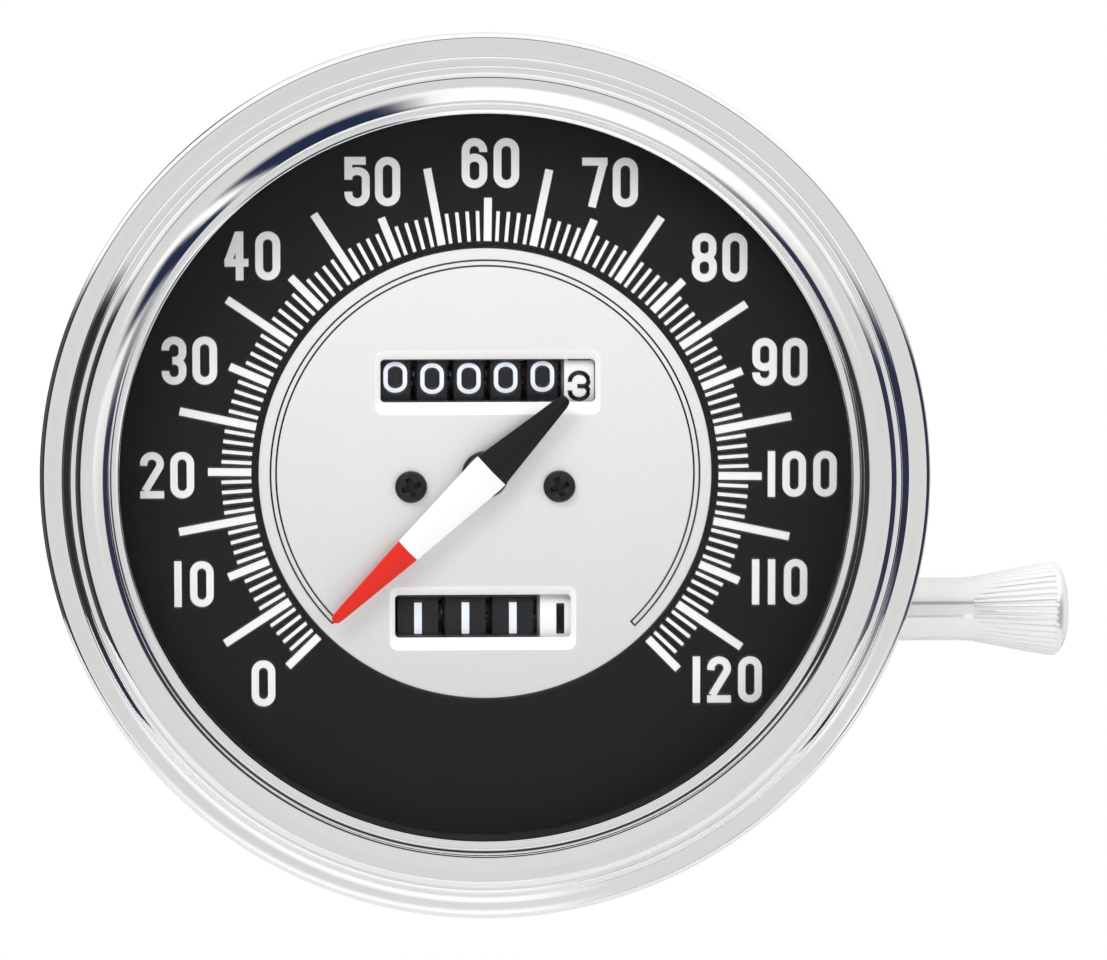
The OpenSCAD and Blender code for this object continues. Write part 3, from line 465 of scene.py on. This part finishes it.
def figure(n, w, h, s, thick, longest=9.0, ends=0.5):
    """Figure n as a thin solid, centred on the origin in the dial's plane."""
    parts = []
    for i, (path, closed) in enumerate(figure_strokes(n, w, h, s, ends)):
        part = stroke(path, s, closed, longest)
        parts.append(moved(part, at(0, 0, 0.003 * i)))
    whole = joined("figure", parts)
    apply(whole, "SOLIDIFY", thickness=thick * MM, offset=0)
    return whole


# Finishes
def grain_group():
    """Slow clouds and a fine grain: shifts a colour and a roughness, and gives a height."""
    tree = bpy.data.node_groups.new("cloud_and_grain", "ShaderNodeTree")
    face = tree.interface
    numbers_in = {"Shade": 0.05, "Roughness": 0.4, "Spread": 0.05, "Cloud scale": 60.0, "Grain scale": 3000.0,
                  "Grain share": 0.5}
    colour_in = face.new_socket("Colour", in_out="INPUT", socket_type="NodeSocketColor")
    colour_in.default_value = (0.5, 0.5, 0.5, 1)
    for name, value in numbers_in.items():
        face.new_socket(name, in_out="INPUT", socket_type="NodeSocketFloat").default_value = value
    face.new_socket("Colour", in_out="OUTPUT", socket_type="NodeSocketColor")
    face.new_socket("Roughness", in_out="OUTPUT", socket_type="NodeSocketFloat")
    face.new_socket("Height", in_out="OUTPUT", socket_type="NodeSocketFloat")
    node, link = tree.nodes.new, tree.links.new
    given, out = node("NodeGroupInput"), node("NodeGroupOutput")
    coords = node("ShaderNodeTexCoord")
    cloud, grain = node("ShaderNodeTexNoise"), node("ShaderNodeTexNoise")
    cloud.inputs["Detail"].default_value = 3
    grain.inputs["Detail"].default_value = 1
    for tex, scale in ((cloud, "Cloud scale"), (grain, "Grain scale")):
        link(coords.outputs["Object"], tex.inputs["Vector"])
        link(given.outputs[scale], tex.inputs["Scale"])
    mix = node("ShaderNodeMix")
    link(given.outputs["Grain share"], mix.inputs["Factor"])
    link(cloud.outputs["Fac"], mix.inputs["A"])
    link(grain.outputs["Fac"], mix.inputs["B"])
    centred = node("ShaderNodeMath")
    centred.operation = "SUBTRACT"
    centred.inputs[1].default_value = 0.5
    link(mix.outputs["Result"], centred.inputs[0])

    def swung(amount, base=None):
        times = node("ShaderNodeMath")
        times.operation = "MULTIPLY_ADD"
        link(centred.outputs[0], times.inputs[0])
        link(given.outputs[amount], times.inputs[1])
        if base:
            link(given.outputs[base], times.inputs[2])
        else:
            times.inputs[2].default_value = 1.0
        return times

    shade = swung("Shade")
    tint = node("ShaderNodeVectorMath")
    tint.operation = "SCALE"
    link(given.outputs["Colour"], tint.inputs[0])
    link(shade.outputs[0], tint.inputs["Scale"])
    link(tint.outputs[0], out.inputs["Colour"])
    link(swung("Spread", "Roughness").outputs[0], out.inputs["Roughness"])
    link(grain.outputs["Fac"], out.inputs["Height"])
    return tree


def brush_group():
    """Fine parallel lines along one direction, as a height and a mask."""
    tree = bpy.data.node_groups.new("brush_lines", "ShaderNodeTree")
    face = tree.interface
    face.new_socket("Scale", in_out="INPUT", socket_type="NodeSocketFloat").default_value = 40.0
    face.new_socket("Direction", in_out="INPUT", socket_type="NodeSocketVector").default_value = (1, 40, 40)
    face.new_socket("Lines", in_out="OUTPUT", socket_type="NodeSocketFloat")
    node, link = tree.nodes.new, tree.links.new
    given, out = node("NodeGroupInput"), node("NodeGroupOutput")
    coords = node("ShaderNodeTexCoord")
    stretch = node("ShaderNodeVectorMath")
    stretch.operation = "MULTIPLY"
    link(coords.outputs["Object"], stretch.inputs[0])
    link(given.outputs["Direction"], stretch.inputs[1])
    lines = node("ShaderNodeTexNoise")
    lines.inputs["Detail"].default_value = 2
    link(stretch.outputs[0], lines.inputs["Vector"])
    link(given.outputs["Scale"], lines.inputs["Scale"])
    link(lines.outputs["Fac"], out.inputs["Lines"])
    return tree


GRAIN = grain_group()
BRUSH = brush_group()


def finish_of(name, colour, rough, metal=0.0, shade=0.06, spread=0.06, cloud=60.0, grain=3000.0, share=0.5,
              bump=0.02, depth=0.02, brushed=None, **sockets):
    """A finish: cloud and grain over a colour, with fine bump, and brush lines where it is brushed."""
    mat = bpy.data.materials.new(name)
    mat.use_nodes = True
    tree = mat.node_tree
    shader = tree.nodes["Principled BSDF"]
    shader.inputs["Metallic"].default_value = metal
    for key, value in sockets.items():
        shader.inputs[key.replace("_", " ")].default_value = value
    effect = tree.nodes.new("ShaderNodeGroup")
    effect.node_tree = GRAIN
    given = {"Colour": (*colour[:3], 1), "Shade": shade, "Roughness": rough, "Spread": spread,
             "Cloud scale": cloud, "Grain scale": grain, "Grain share": share}
    for key, value in given.items():
        effect.inputs[key].default_value = value
    tree.links.new(effect.outputs["Colour"], shader.inputs["Base Color"])
    tree.links.new(effect.outputs["Roughness"], shader.inputs["Roughness"])
    height = effect.outputs["Height"]
    if brushed:
        lines = tree.nodes.new("ShaderNodeGroup")
        lines.node_tree = BRUSH
        lines.inputs["Direction"].default_value = brushed
        height = lines.outputs["Lines"]
    relief = tree.nodes.new("ShaderNodeBump")
    relief.inputs["Strength"].default_value = bump
    relief.inputs["Distance"].default_value = depth * MM
    tree.links.new(height, relief.inputs["Height"])
    tree.links.new(relief.outputs[0], shader.inputs["Normal"])
    return mat


def fade_down(mat, top, foot, reach):
    """Paints light and shade into a finish's colour: it is scaled from foot, at reach below the dial's middle,
    to top, at reach above it, a painted highlight above and painted shade below.
    """
    tree = mat.node_tree
    coords, split = tree.nodes.new("ShaderNodeTexCoord"), tree.nodes.new("ShaderNodeSeparateXYZ")
    tree.links.new(coords.outputs["Object"], split.inputs[0])
    painted_light = tree.nodes.new("ShaderNodeMapRange")
    painted_light.inputs["From Min"].default_value = -reach * MM
    painted_light.inputs["From Max"].default_value = reach * MM
    painted_light.inputs["To Min"].default_value = foot
    painted_light.inputs["To Max"].default_value = top
    tree.links.new(split.outputs["Z"], painted_light.inputs["Value"])
    tint = tree.nodes.new("ShaderNodeVectorMath")
    tint.operation = "SCALE"
    shader = tree.nodes["Principled BSDF"]
    tree.links.new(shader.inputs["Base Color"].links[0].from_socket, tint.inputs[0])
    tree.links.new(painted_light.outputs[0], tint.inputs["Scale"])
    tree.links.new(tint.outputs[0], shader.inputs["Base Color"])


def glass(name, colour, alpha, rough=0.02):
    mat = finish_of(name, colour, rough, shade=0.02, spread=0.01, bump=0.0, Transmission_Weight=1.0, IOR=1.45)
    mat.node_tree.nodes["Principled BSDF"].inputs["Alpha"].default_value = alpha
    return mat


COLOURS = {m["slot"]: m["base_color"] for m in RECORD["materials"]}
FINISHES = {
    "bezel_chrome": dict(rough=0.035, metal=1, shade=0.02, spread=0.02, cloud=25, grain=900, depth=0.004),
    "knob_chrome": dict(rough=0.12, metal=0.5, shade=0.05, cloud=400, grain=2200, bump=0.10, depth=0.012),
    "can_steel": dict(rough=0.30, metal=1, shade=0.14, spread=0.16, cloud=45, grain=2500, share=0.3, bump=0.10),
    "boss_steel": dict(rough=0.28, metal=1, shade=0.10, spread=0.12, cloud=80, grain=2500, bump=0.08),
    "stud_steel": dict(rough=0.30, metal=1, shade=0.12, spread=0.12, cloud=120, grain=2500, bump=0.08),
    "gasket_rubber": dict(rough=0.8, bump=0.25, depth=0.05),
    "ring_black": dict(rough=0.55, bump=0.15, depth=0.03),
    "dial_black": dict(rough=0.42, shade=0.25, spread=0.08, cloud=30, grain=5000, share=0.4, bump=0.10,
                       depth=0.01, Specular_IOR_Level=0.06),
    "screw_black": dict(rough=0.30, shade=0.1, spread=0.05, cloud=200, bump=0.04, Specular_IOR_Level=0.16),
    "frame_zinc": dict(rough=0.42, metal=1, shade=0.12, spread=0.1, grain=1800, bump=0.30, depth=0.05),
    "plate_steel": dict(rough=0.30, metal=1, shade=0.08, brushed=(1, 60, 60), bump=0.25),
    "bush_bronze": dict(rough=0.40, metal=1, shade=0.15, grain=2200, bump=0.25, depth=0.03),
    "gear_brass": dict(rough=0.25, metal=1, shade=0.10, cloud=80, bump=0.08),
    "shaft_steel": dict(rough=0.18, metal=1, brushed=(60, 1, 60), bump=0.12),
    "magnet_alloy": dict(rough=0.5, metal=1, shade=0.15, bump=0.30, depth=0.04),
    "cup_aluminium": dict(rough=0.22, metal=1, bump=0.06),
    "spring_bronze": dict(rough=0.22, metal=1, bump=0.04),
    "pointer_paint": dict(rough=0.35, shade=0.02, spread=0.05, grain=4000, bump=0.05, depth=0.01),
    "hub_grey": dict(rough=0.5, shade=0.1, bump=0.15),
    "drum_black": dict(rough=0.34, shade=0.2, cloud=300, grain=4000, bump=0.10, depth=0.01,
                       Specular_IOR_Level=0.16),
    "drum_white": dict(rough=0.38, shade=0.02, cloud=300, bump=0.08, depth=0.01),
    "pinion_plastic": dict(rough=0.45, shade=0.05, bump=0.08),
    "lamp_steel": dict(rough=0.32, metal=1, shade=0.15, cloud=90, bump=0.10),
}
MATERIALS = {slot: finish_of(slot, COLOURS[slot], **FINISHES[slot]) for slot in COLOURS if slot in FINISHES}
MATERIALS["lens_glass"] = glass("lens_glass", (1, 1, 1), 0.04)
MATERIALS["bulb_glass"] = glass("bulb_glass", (0.95, 0.93, 0.85), 0.35)
MATERIALS["jewel"] = glass("jewel", (0.55, 0.03, 0.08), 0.9, 0.05)

# Paints and prints that share a slot with the piece they are on
PRINTS = {
    "silver_centre": dict(colour=(0.86, 0.87, 0.885), rough=0.40, metal=0.5, shade=0.12, spread=0.10, cloud=120,
                          grain=5200, share=0.85, bump=0.35, depth=0.008),
    # The windows' pressed lips take a whiter finish than the silver centre they are pressed from: a painted
    # highlight for their lit edges.
    "lip_painted_highlight": dict(colour=(0.99, 0.99, 0.985), rough=0.45, shade=0.02, bump=0.04, depth=0.01),
    "figure_white": dict(colour=(0.82, 0.87, 0.95), rough=0.5, shade=0.04, bump=0.05, depth=0.01),
    "mark_white": dict(colour=(0.90, 0.90, 0.90), rough=0.5, shade=0.04, depth=0.01, bump=0.06),
    "mark_black": dict(colour=(0.008, 0.008, 0.009), rough=0.45, shade=0.2, bump=0.05, depth=0.01,
                       Specular_IOR_Level=0.1),
    "needle_white": dict(colour=(0.97, 0.97, 0.975), rough=0.35, shade=0.02, grain=4000, bump=0.05, depth=0.01),
    "tip_red": dict(colour=(0.74, 0.022, 0.012), rough=0.35, shade=0.05, grain=4000, bump=0.05, depth=0.01,
                    Specular_IOR_Level=0.25),
    "tail_black": dict(colour=(0.008, 0.008, 0.009), rough=0.34, shade=0.2, grain=4000, bump=0.05, depth=0.01,
                       Specular_IOR_Level=0.25),
}
for print_name, look in PRINTS.items():
    MATERIALS[print_name] = finish_of(print_name, **look)
# Painted light: the silver centre is lighter toward 12 o'clock and darker toward 6 o'clock, as if lit from
# above.
fade_down(MATERIALS["silver_centre"], top=1.15, foot=0.90, reach=30)

for part in RECORD["subparts"]:
    node_object = frame["nodes"][part["node"]]
    node_object.data.materials.clear()
    node_object.data.materials.append(MATERIALS[part["material_slot"]])


def placed(piece, body, slot, material=None, instead_of=()):
    """Gives a finished piece its finish, its body and the nodes it stands for."""
    piece.data.materials.clear()
    piece.data.materials.append(MATERIALS[material or slot])
    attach(piece, body)
    if instead_of:
        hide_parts(*instead_of)
    return piece


# Bezel
def bezel():
    """The ring's section from the glass outward: lip, band, groove, wall, flange and rolled rim."""
    z = LENS_TOP
    lip = [(52.2, z + 0.05), (52.2, z + 0.4)] + bow(52.45, z + 0.4, 0.25, 0.25, 180, 95, 6)
    lip += [(53.22, z + 0.715)] + bow(53.24, z + 0.91, 0.20, 0.20, -85, -5, 6)
    band = bow(53.80, z + 4.10, 0.16, 0.16, 175, 103, 9)
    crown_r, crown_z, crown_fall = 57.45, z + 4.72, 0.030
    for i in range(9, -1, -1):
        inward = 0.37 * i
        band.append((crown_r - inward, crown_z - crown_fall * inward ** 2))
    groove = [(57.55, z + 4.715), (58.25, z + 4.285), (58.6, z + 4.285)]
    wall = bow(58.85, z + 4.0, 0.285, 0.285, 88, 16, 10) + bow(60.40, z + 0.88, 0.30, 0.30, 196, 270, 9)
    flange = [(61.3, z + 0.58), (62.0, z + 0.58)]
    rim = bow(62.75, z - 0.17, 0.75, 0.75, 90, 0, 16) + [(63.5, 49.2)] + bow(62.9, 48.3, 0.6, 0.6, 0, -90, 8)
    inside = [(60.0, 47.7), (58.2, 47.7), (58.2, 48.6), (62.6, 48.6), (62.6, z - 0.6), (59.3, z - 0.3),
              (57.6, z + 3.4), (54.8, z + 3.4), (54.2, z + 0.05), (52.2, z + 0.05)]
    ring = turned("bezel_ring", lip + band + groove + wall + flange + rim + inside, steps=256)
    placed(ring, "case", "bezel_chrome", instead_of=["bezel"])


# Dial
# Each window's middle, its width and its height
WINDOWS = {"odometer": (0.4, 13.4, 30.8, 6.2), "trip": (-0.35, -20.7, 25.3, 6.2)}


def rounded(x, y, w, h, r, z, steps=5):
    """Corners of a rounded rectangle, as points."""
    points = []
    for sx, sy, start in ((1, 1, 0), (-1, 1, 90), (-1, -1, 180), (1, -1, 270)):
        points += bow(x + sx * (w / 2 - r), y + sy * (h / 2 - r), r, r, start, start + 90, steps)
    return [at(px, py, z) for px, py in points]


def window_cutter(x, y, w, h):
    """A plug that cuts a window right through the dial."""
    piece = sheet_of_paper("window_plug")
    draw(rounded(x, y, w, h, 1.2, 45.0), fill=True)
    bpy.ops.mesh.extrude_region_move(TRANSFORM_OT_translate={"value": (0, -1.5 * MM, 0)})
    close_up()
    rest()
    return piece


def lip_outline(x, y, w, h, grown):
    """A window grown by its pressed lip: 0.8 at each side, 1.3 above and 1.8 below at its full width."""
    return x, y - 0.25 * grown, w + 1.6 * grown, h + 3.1 * grown


DIAL_R = 55.5
CENTRE_R = 32.5
CENTRE_TOP = DIAL_TOP + 0.08
SPINDLE_HOLE = 0.9


def dial():
    """The black plate, the silver disc on it and the pressed lips of the windows."""
    plate = turned("dial_face", [(SPINDLE_HOLE, 45.2), (DIAL_R, 45.2), (DIAL_R, DIAL_TOP - 0.05),
                                 (DIAL_R - 0.05, DIAL_TOP), (SPINDLE_HOLE, DIAL_TOP), (SPINDLE_HOLE, 45.2)],
                   steps=160)
    centre = turned("dial_centre", [(SPINDLE_HOLE, 45.55), (CENTRE_R - 0.1, 45.55), (CENTRE_R, 45.65),
                                    (CENTRE_R, DIAL_TOP + 0.04), (CENTRE_R - 0.06, CENTRE_TOP),
                                    (SPINDLE_HOLE, CENTRE_TOP), (SPINDLE_HOLE, 45.55)], steps=192)
    lips = []
    for window in WINDOWS.values():
        carve(plate, window_cutter(*lip_outline(*window, 1.04)))
        carve(centre, window_cutter(*lip_outline(*window, 0.96)))
        loops = [rounded(*lip_outline(*window, grown), 0.6 + 0.6 * grown, DIAL_TOP + z)
                 for grown, z in ((1.0, -0.3), (1.01, 0.06), (0.96, 0.1), (0.88, 0.06), (0.1, -0.62),
                                  (0.0, -0.74), (0.0, -0.8), (1.0, -0.8), (1.0, -0.3))]
        lips.append(lofted("lip", loops, capped=False))
        smooth(lips[-1])
    smooth(plate, 25)
    smooth(centre, 25)
    placed(plate, "case", "dial_black", instead_of=["dial_plate"])
    placed(centre, "case", "dial_black", "silver_centre", instead_of=["dial_plate"])
    # The pressed lips are painted whiter than the silver centre: painted highlight.
    placed(joined("window_lips", lips), "case", "dial_black", "lip_painted_highlight", instead_of=["dial_plate"])


def spoke(inner, outer, width, angle):
    """A mark pointing at the centre, as a flat face in the open drawing."""
    c, s = math.cos(math.radians(angle)), math.sin(math.radians(angle))
    h = width / 2
    corners = [(inner, -h), (outer, -h), (outer, h), (inner, h)]
    draw([at(r * c - t * s, r * s + t * c, 0) for r, t in corners], fill=True)


def marks():
    """The scale: units in fours, then the fives and the tens, each row copied clockwise round the dial."""
    unit = 2.25
    foot = CENTRE_R + 1.05
    piece = sheet_of_paper("scale_marks")

    def repeat(times, units):
        bpy.ops.mesh.spin(steps=times, dupli=True, angle=math.radians(times * units * unit), center=(0, 0, 0),
                          axis=(0, -1, 0))

    spoke(foot, 37.85, 0.5, SCALE_ZERO - unit)
    repeat(3, 1)
    bpy.ops.mesh.select_all(action="SELECT")
    repeat(23, 5)
    spoke(foot, 44.7, 1.15, SCALE_ZERO - 5 * unit)
    repeat(11, 10)
    spoke(foot, 39.75, 1.12, SCALE_ZERO)
    repeat(12, 10)
    rest()
    apply(piece, "SOLIDIFY", thickness=0.04 * MM, offset=0)
    moved(piece, at(0, 0, DIAL_TOP + 0.01))
    placed(piece, "case", "dial_black", "mark_white")


# Where each number stands: its centre, its height, and the gap between its figures
NUMBERS = {
    0: (-31.97, -30.25, 6.7, 0.9), 10: (-41.86, -15.77, 6.65, 1.2), 20: (-45.6, 0.0, 6.7, 0.9),
    30: (-42.3, 16.5, 6.93, 0.85), 40: (-33.4, 31.5, 7.0, 0.75), 50: (-16.05, 42.1, 7.05, 0.75),
    60: (0.8, 44.7, 7.15, 0.9), 70: (17.9, 41.9, 7.07, 0.75), 80: (33.6, 31.1, 7.0, 0.8),
    90: (42.3, 16.05, 6.9, 0.85), 100: (45.6, -0.15, 6.64, 1.05), 110: (42.4, -15.8, 6.6, 1.25),
    120: (34.9, -30.0, 6.74, 1.02),
}


def numbers():
    height, width, pen = 7.05, 3.6, 1.12
    figures = {n: figure(n, width, height, pen, 0.04) for n in range(10)}
    wide = {n: width for n in range(10)}
    wide[1] = pen
    wide[4] = width + 0.45
    parts = []
    for value, (x, y, tall, gap) in NUMBERS.items():
        size = tall / height
        digits = [int(c) for c in str(value)]
        total = sum(wide[d] * size for d in digits) + gap * (len(digits) - 1)
        left = x - total / 2
        for d in digits:
            twin = copied(figures[d])
            moved(twin, at(left + wide[d] * size / 2, y, DIAL_TOP + 0.015), (size, 1, size))
            parts.append(twin)
            left += wide[d] * size + gap
    for piece in figures.values():
        bpy.data.objects.remove(piece)
    placed(joined("scale_numbers", parts), "case", "dial_black", "mark_white")


def fine_lines():
    """The two thin arcs round the silver centre, closed at both ends."""
    piece = sheet_of_paper("centre_lines")
    start = math.radians(SCALE_ZERO)
    inner, outer, half = 30.0, 30.8, 0.13
    for r in (inner, outer):
        draw([at((r + t) * math.cos(start), (r + t) * math.sin(start), 0) for t in (-half, half)])
        bpy.ops.mesh.spin(steps=180, angle=math.radians(270), center=(0, 0, 0), axis=(0, -1, 0))
    for angle in (SCALE_ZERO, SCALE_ZERO - 270):
        spoke(inner - half, outer + half, 2 * half, angle)
    rest()
    apply(piece, "SOLIDIFY", thickness=0.02 * MM, offset=0)
    moved(piece, at(0, 0, DIAL_TOP + 0.085))
    placed(piece, "case", "dial_black", "mark_black")


# Dial screws
def dial_screws():
    top = CENTRE_TOP
    profile = [(0, top - 0.3), (1.2, top - 0.3), (1.2, top), (2.25, top), (2.3, top + 0.06)]
    profile += bow(1.5, top + 0.45, 0.8, 0.62, -10, 90, 8) + [(0.8, top + 1.1), (0, top + 1.12)]
    parts = []
    for x in (-10.65, 10.65):
        head = turned("screw_head", profile, steps=48, centre=at(x, -1.8, 0))
        for turn in (20, 110):
            slot = sheet_of_paper("cross")
            c, s = math.cos(math.radians(turn)), math.sin(math.radians(turn))
            draw([at(x + a * c - b * s, -1.8 + a * s + b * c, top + 0.1)
                  for a, b in ((-1.05, -0.3), (1.05, -0.3), (1.05, 0.3), (-1.05, 0.3))], fill=True)
            bpy.ops.mesh.extrude_region_move(TRANSFORM_OT_translate={"value": (0, -1.3 * MM, 0)})
            bpy.ops.transform.resize(value=(1.5, 1, 1.5), center_override=at(x, -1.8, top + 1.4))
            close_up()
            rest()
            carve(head, slot)
        smooth(head, 35)
        parts.append(head)
    placed(joined("dial_screw_heads", parts), "case", "screw_black", instead_of=["dial_screws"])


# Pointer
def pointer_part(name, stations):
    """A length of the needle, from stations of (distance from the pivot, width, edge height, ridge height)."""
    c, s = math.cos(math.radians(POINTER_REST)), math.sin(math.radians(POINTER_REST))
    loops = []
    for d, w, edge, ridge in stations:
        loops.append([at(d * c - t * s, d * s + t * c, POINTER_Z + z)
                      for t, z in ((-w / 2, 0), (w / 2, 0), (w / 2, edge), (0.1, ridge - 0.02), (0, ridge),
                                   (-0.1, ridge - 0.02), (-w / 2, edge))])
    piece = lofted(name, loops)
    smooth(piece, 20)
    return piece


def pointer():
    broad, neck = (-1.2, 5.66, 0.5, 1.55), (15.4, 3.75, 0.45, 1.35)
    white = pointer_part("pointer_white", [broad, (0, 5.68, 0.5, 1.55), neck])
    red = pointer_part("pointer_red", [neck, (29.0, 1.6, 0.35, 0.62), (29.9, 1.3, 0.3, 0.5),
                                       (30.3, 0.6, 0.25, 0.35)])
    black = pointer_part("pointer_black", [broad, (-15.2, 1.95, 0.4, 0.75), (-15.9, 1.5, 0.35, 0.6),
                                           (-16.2, 0.8, 0.3, 0.42)])
    placed(white, "pointer_assembly", "pointer_paint", "needle_white", instead_of=["pointer"])
    placed(red, "pointer_assembly", "pointer_paint", "tip_red", instead_of=["pointer"])
    placed(black, "pointer_assembly", "pointer_paint", "tail_black", instead_of=["pointer"])
    skirt = turned("hub_skirt", [(0.9, 46.6), (3.3, 46.6), (3.4, 46.7), (3.3, 47.2), (2.6, 47.4), (0.9, 47.4),
                                 (0.9, 46.6)], steps=64)
    placed(skirt, "pointer_assembly", "hub_grey", "tail_black")


# Figures on the drums
# Each drum's place along its shaft, the figure it shows, and how far that sits below the front in mm
ODO_DRUMS = {"tenths": (13.54, 3, 0.90), "units": (8.26, 0, -0.50), "tens": (2.98, 0, -0.36),
             "hundreds": (-2.30, 0, -0.25), "thousands": (-7.58, 0, -0.25), "ten_thousands": (-12.86, 0, -0.46)}
TRIP_DRUMS = {"tenths": (10.83, 1, -0.2), "units": (3.99, 1, -0.31), "tens": (-2.85, 1, -0.31),
              "hundreds": (-9.69, 1, -0.31)}


def wrapped(piece, x, axis_y, angle):
    """Bends a flat figure round a drum, its centre at this angle below the front."""
    proud = 0.03
    axis = at(x, axis_y, DRUM_AXIS_Z)
    for v in piece.data.vertices:
        out = (DRUM_R + proud) * MM - v.co.y
        turn = math.radians(angle) - v.co.z / (DRUM_R * MM)
        v.co = axis + Vector((v.co.x, -out * math.cos(turn), -out * math.sin(turn)))
    piece.data.update()
    return piece


def drum_figures(counter, drums, axis_y, sizes, tenths_sizes):
    """Ten figures round each drum; sizes are the width, the height and the pen of a figure."""
    kinds = {}
    for kind, (width, height, pen) in (("whole", sizes), ("tenths", tenths_sizes)):
        kinds[kind] = {n: figure(n, width, height, pen, 0.04, 0.5, 0.62) for n in range(10)}
    for drum, (x, shown, low) in drums.items():
        figures = kinds["tenths" if drum == "tenths" else "whole"]
        body = f"{counter}_{drum}"
        parts = []
        for n in range(10):
            angle = 36 * (n - shown) + math.degrees(low / DRUM_R)
            parts.append(wrapped(copied(figures[n]), x, axis_y, angle))
        whole = joined(f"{counter}_figures_{drum}", parts)
        white = drum != "tenths"
        placed(whole, body, "drum_black" if white else "drum_white", "figure_white" if white else "mark_black")
    for figures in kinds.values():
        for piece in figures.values():
            bpy.data.objects.remove(piece)


# Reset knob
def reset_knob():
    axis = Vector((0, -DRUM_AXIS_Z, TRIP_Y)) * MM
    bore, foot, top = 1.55, 57.7, 71.2
    stem = turned("knob_stem", [(bore, foot), (4.45, foot), (4.6, foot + 0.15), (4.6, 69.6), (4.62, 70.2),
                                (4.7, 70.8), (4.7, top), (bore, top), (bore, foot)],
                  steps=96, centre=axis, along_x=True)
    teeth = 38

    def ring(x, r, depth):
        """A fluted ring at x: each tooth is a valley, a flank, a flat top and a flank."""
        points = []
        for i in range(teeth):
            for share, drop in ((0.0, 1), (0.16, 0.25), (0.34, 0), (0.66, 0), (0.84, 0.25)):
                a = math.tau * (i + share) / teeth
                here = r - depth * drop
                points.append(axis + Vector((x, here * math.sin(a), here * math.cos(a))) * MM)
        return points

    # each station of the grip: its place along the shaft, its radius and the depth of its flutes
    stations = [(70.6, 4.60, 0.0), (71.2, 4.70, 0.02), (72.2, 4.90, 0.09), (75.5, 5.55, 0.13),
                (79.5, 6.32, 0.15), (82.5, 6.80, 0.18), (82.9, 6.84, 0.26), (83.15, 6.80, 0.10),
                (83.4, 6.66, 0.0), (83.9, 6.25, 0.0), (84.35, 5.6, 0.0), (84.75, 4.7, 0.0),
                (85.05, 3.5, 0.0), (85.22, 2.2, 0.0), (85.29, 1.0, 0.0)]
    grip = lofted("knob_grip", [ring(*station) for station in stations])
    smooth(grip, 35)
    placed(joined("reset_knob_dressed", [stem, grip]), "reset", "knob_chrome", instead_of=["reset_knob"])


# Threads at the back
def thread(r, depth, low, high, pitch):
    """Outline of a thread as rings one pitch apart, from low to high."""
    points = []
    for i in range(int((high - low) / pitch)):
        z = low + i * pitch
        points += [(r - depth, z), (r, z + 0.44 * pitch), (r, z + 0.56 * pitch)]
    return points + [(r - depth, z + pitch)]


BOSS_R, BOSS_PITCH, FERRULE_R, BUSH_R, FLANGE_R = 7.94, 1.41, 5.2, 4.6, 11.94
STUD_R, STUD_PITCH, STUD_X = 2.415, 0.794, 25
BACK_REACH = 16


def back_fittings():
    """The cable boss and the two studs, with their threads; z is 0 at the can's back."""
    profile = [(FERRULE_R, -BACK_REACH), (7.1, -BACK_REACH)] + thread(BOSS_R, 0.8, -15.6, -3.2, BOSS_PITCH)
    profile += [(7.14, -2.5), (FLANGE_R - 0.14, -2.5), (FLANGE_R, -2.36), (FLANGE_R, 0), (8.9, 0), (8.9, 1.0),
                (BUSH_R, 1.0), (BUSH_R, -7.0), (FERRULE_R, -7.0), (FERRULE_R, -BACK_REACH)]
    placed(turned("drive_boss_threaded", profile, steps=64), "case", "boss_steel", instead_of=["drive_boss"])
    profile = [(0, -BACK_REACH), (1.9, -BACK_REACH)] + thread(STUD_R, 0.45, -15.6, -1.2, STUD_PITCH)
    profile += [(1.96, -0.6), (1.96, 0), (2.915, 0), (2.915, 3.2), (3.82, 3.2), (3.82, 5.6), (0, 5.6)]
    studs = [turned("stud", profile, steps=32, centre=at(x, 0, 0)) for x in (-STUD_X, STUD_X)]
    placed(joined("mounting_studs_threaded", studs), "case", "stud_steel", instead_of=["mounting_studs"])


rest()
surroundings()
studio()
bezel()
dial()
marks()
numbers()
fine_lines()
dial_screws()
pointer()
drum_figures("odo", ODO_DRUMS, ODO_Y, (3.4, 4.46, 0.62), (3.3, 4.55, 0.64))
drum_figures("trip", TRIP_DRUMS, TRIP_Y, (3.8, 4.55, 1.10), (3.5, 4.42, 1.15))
reset_knob()
back_fittings()

rest()
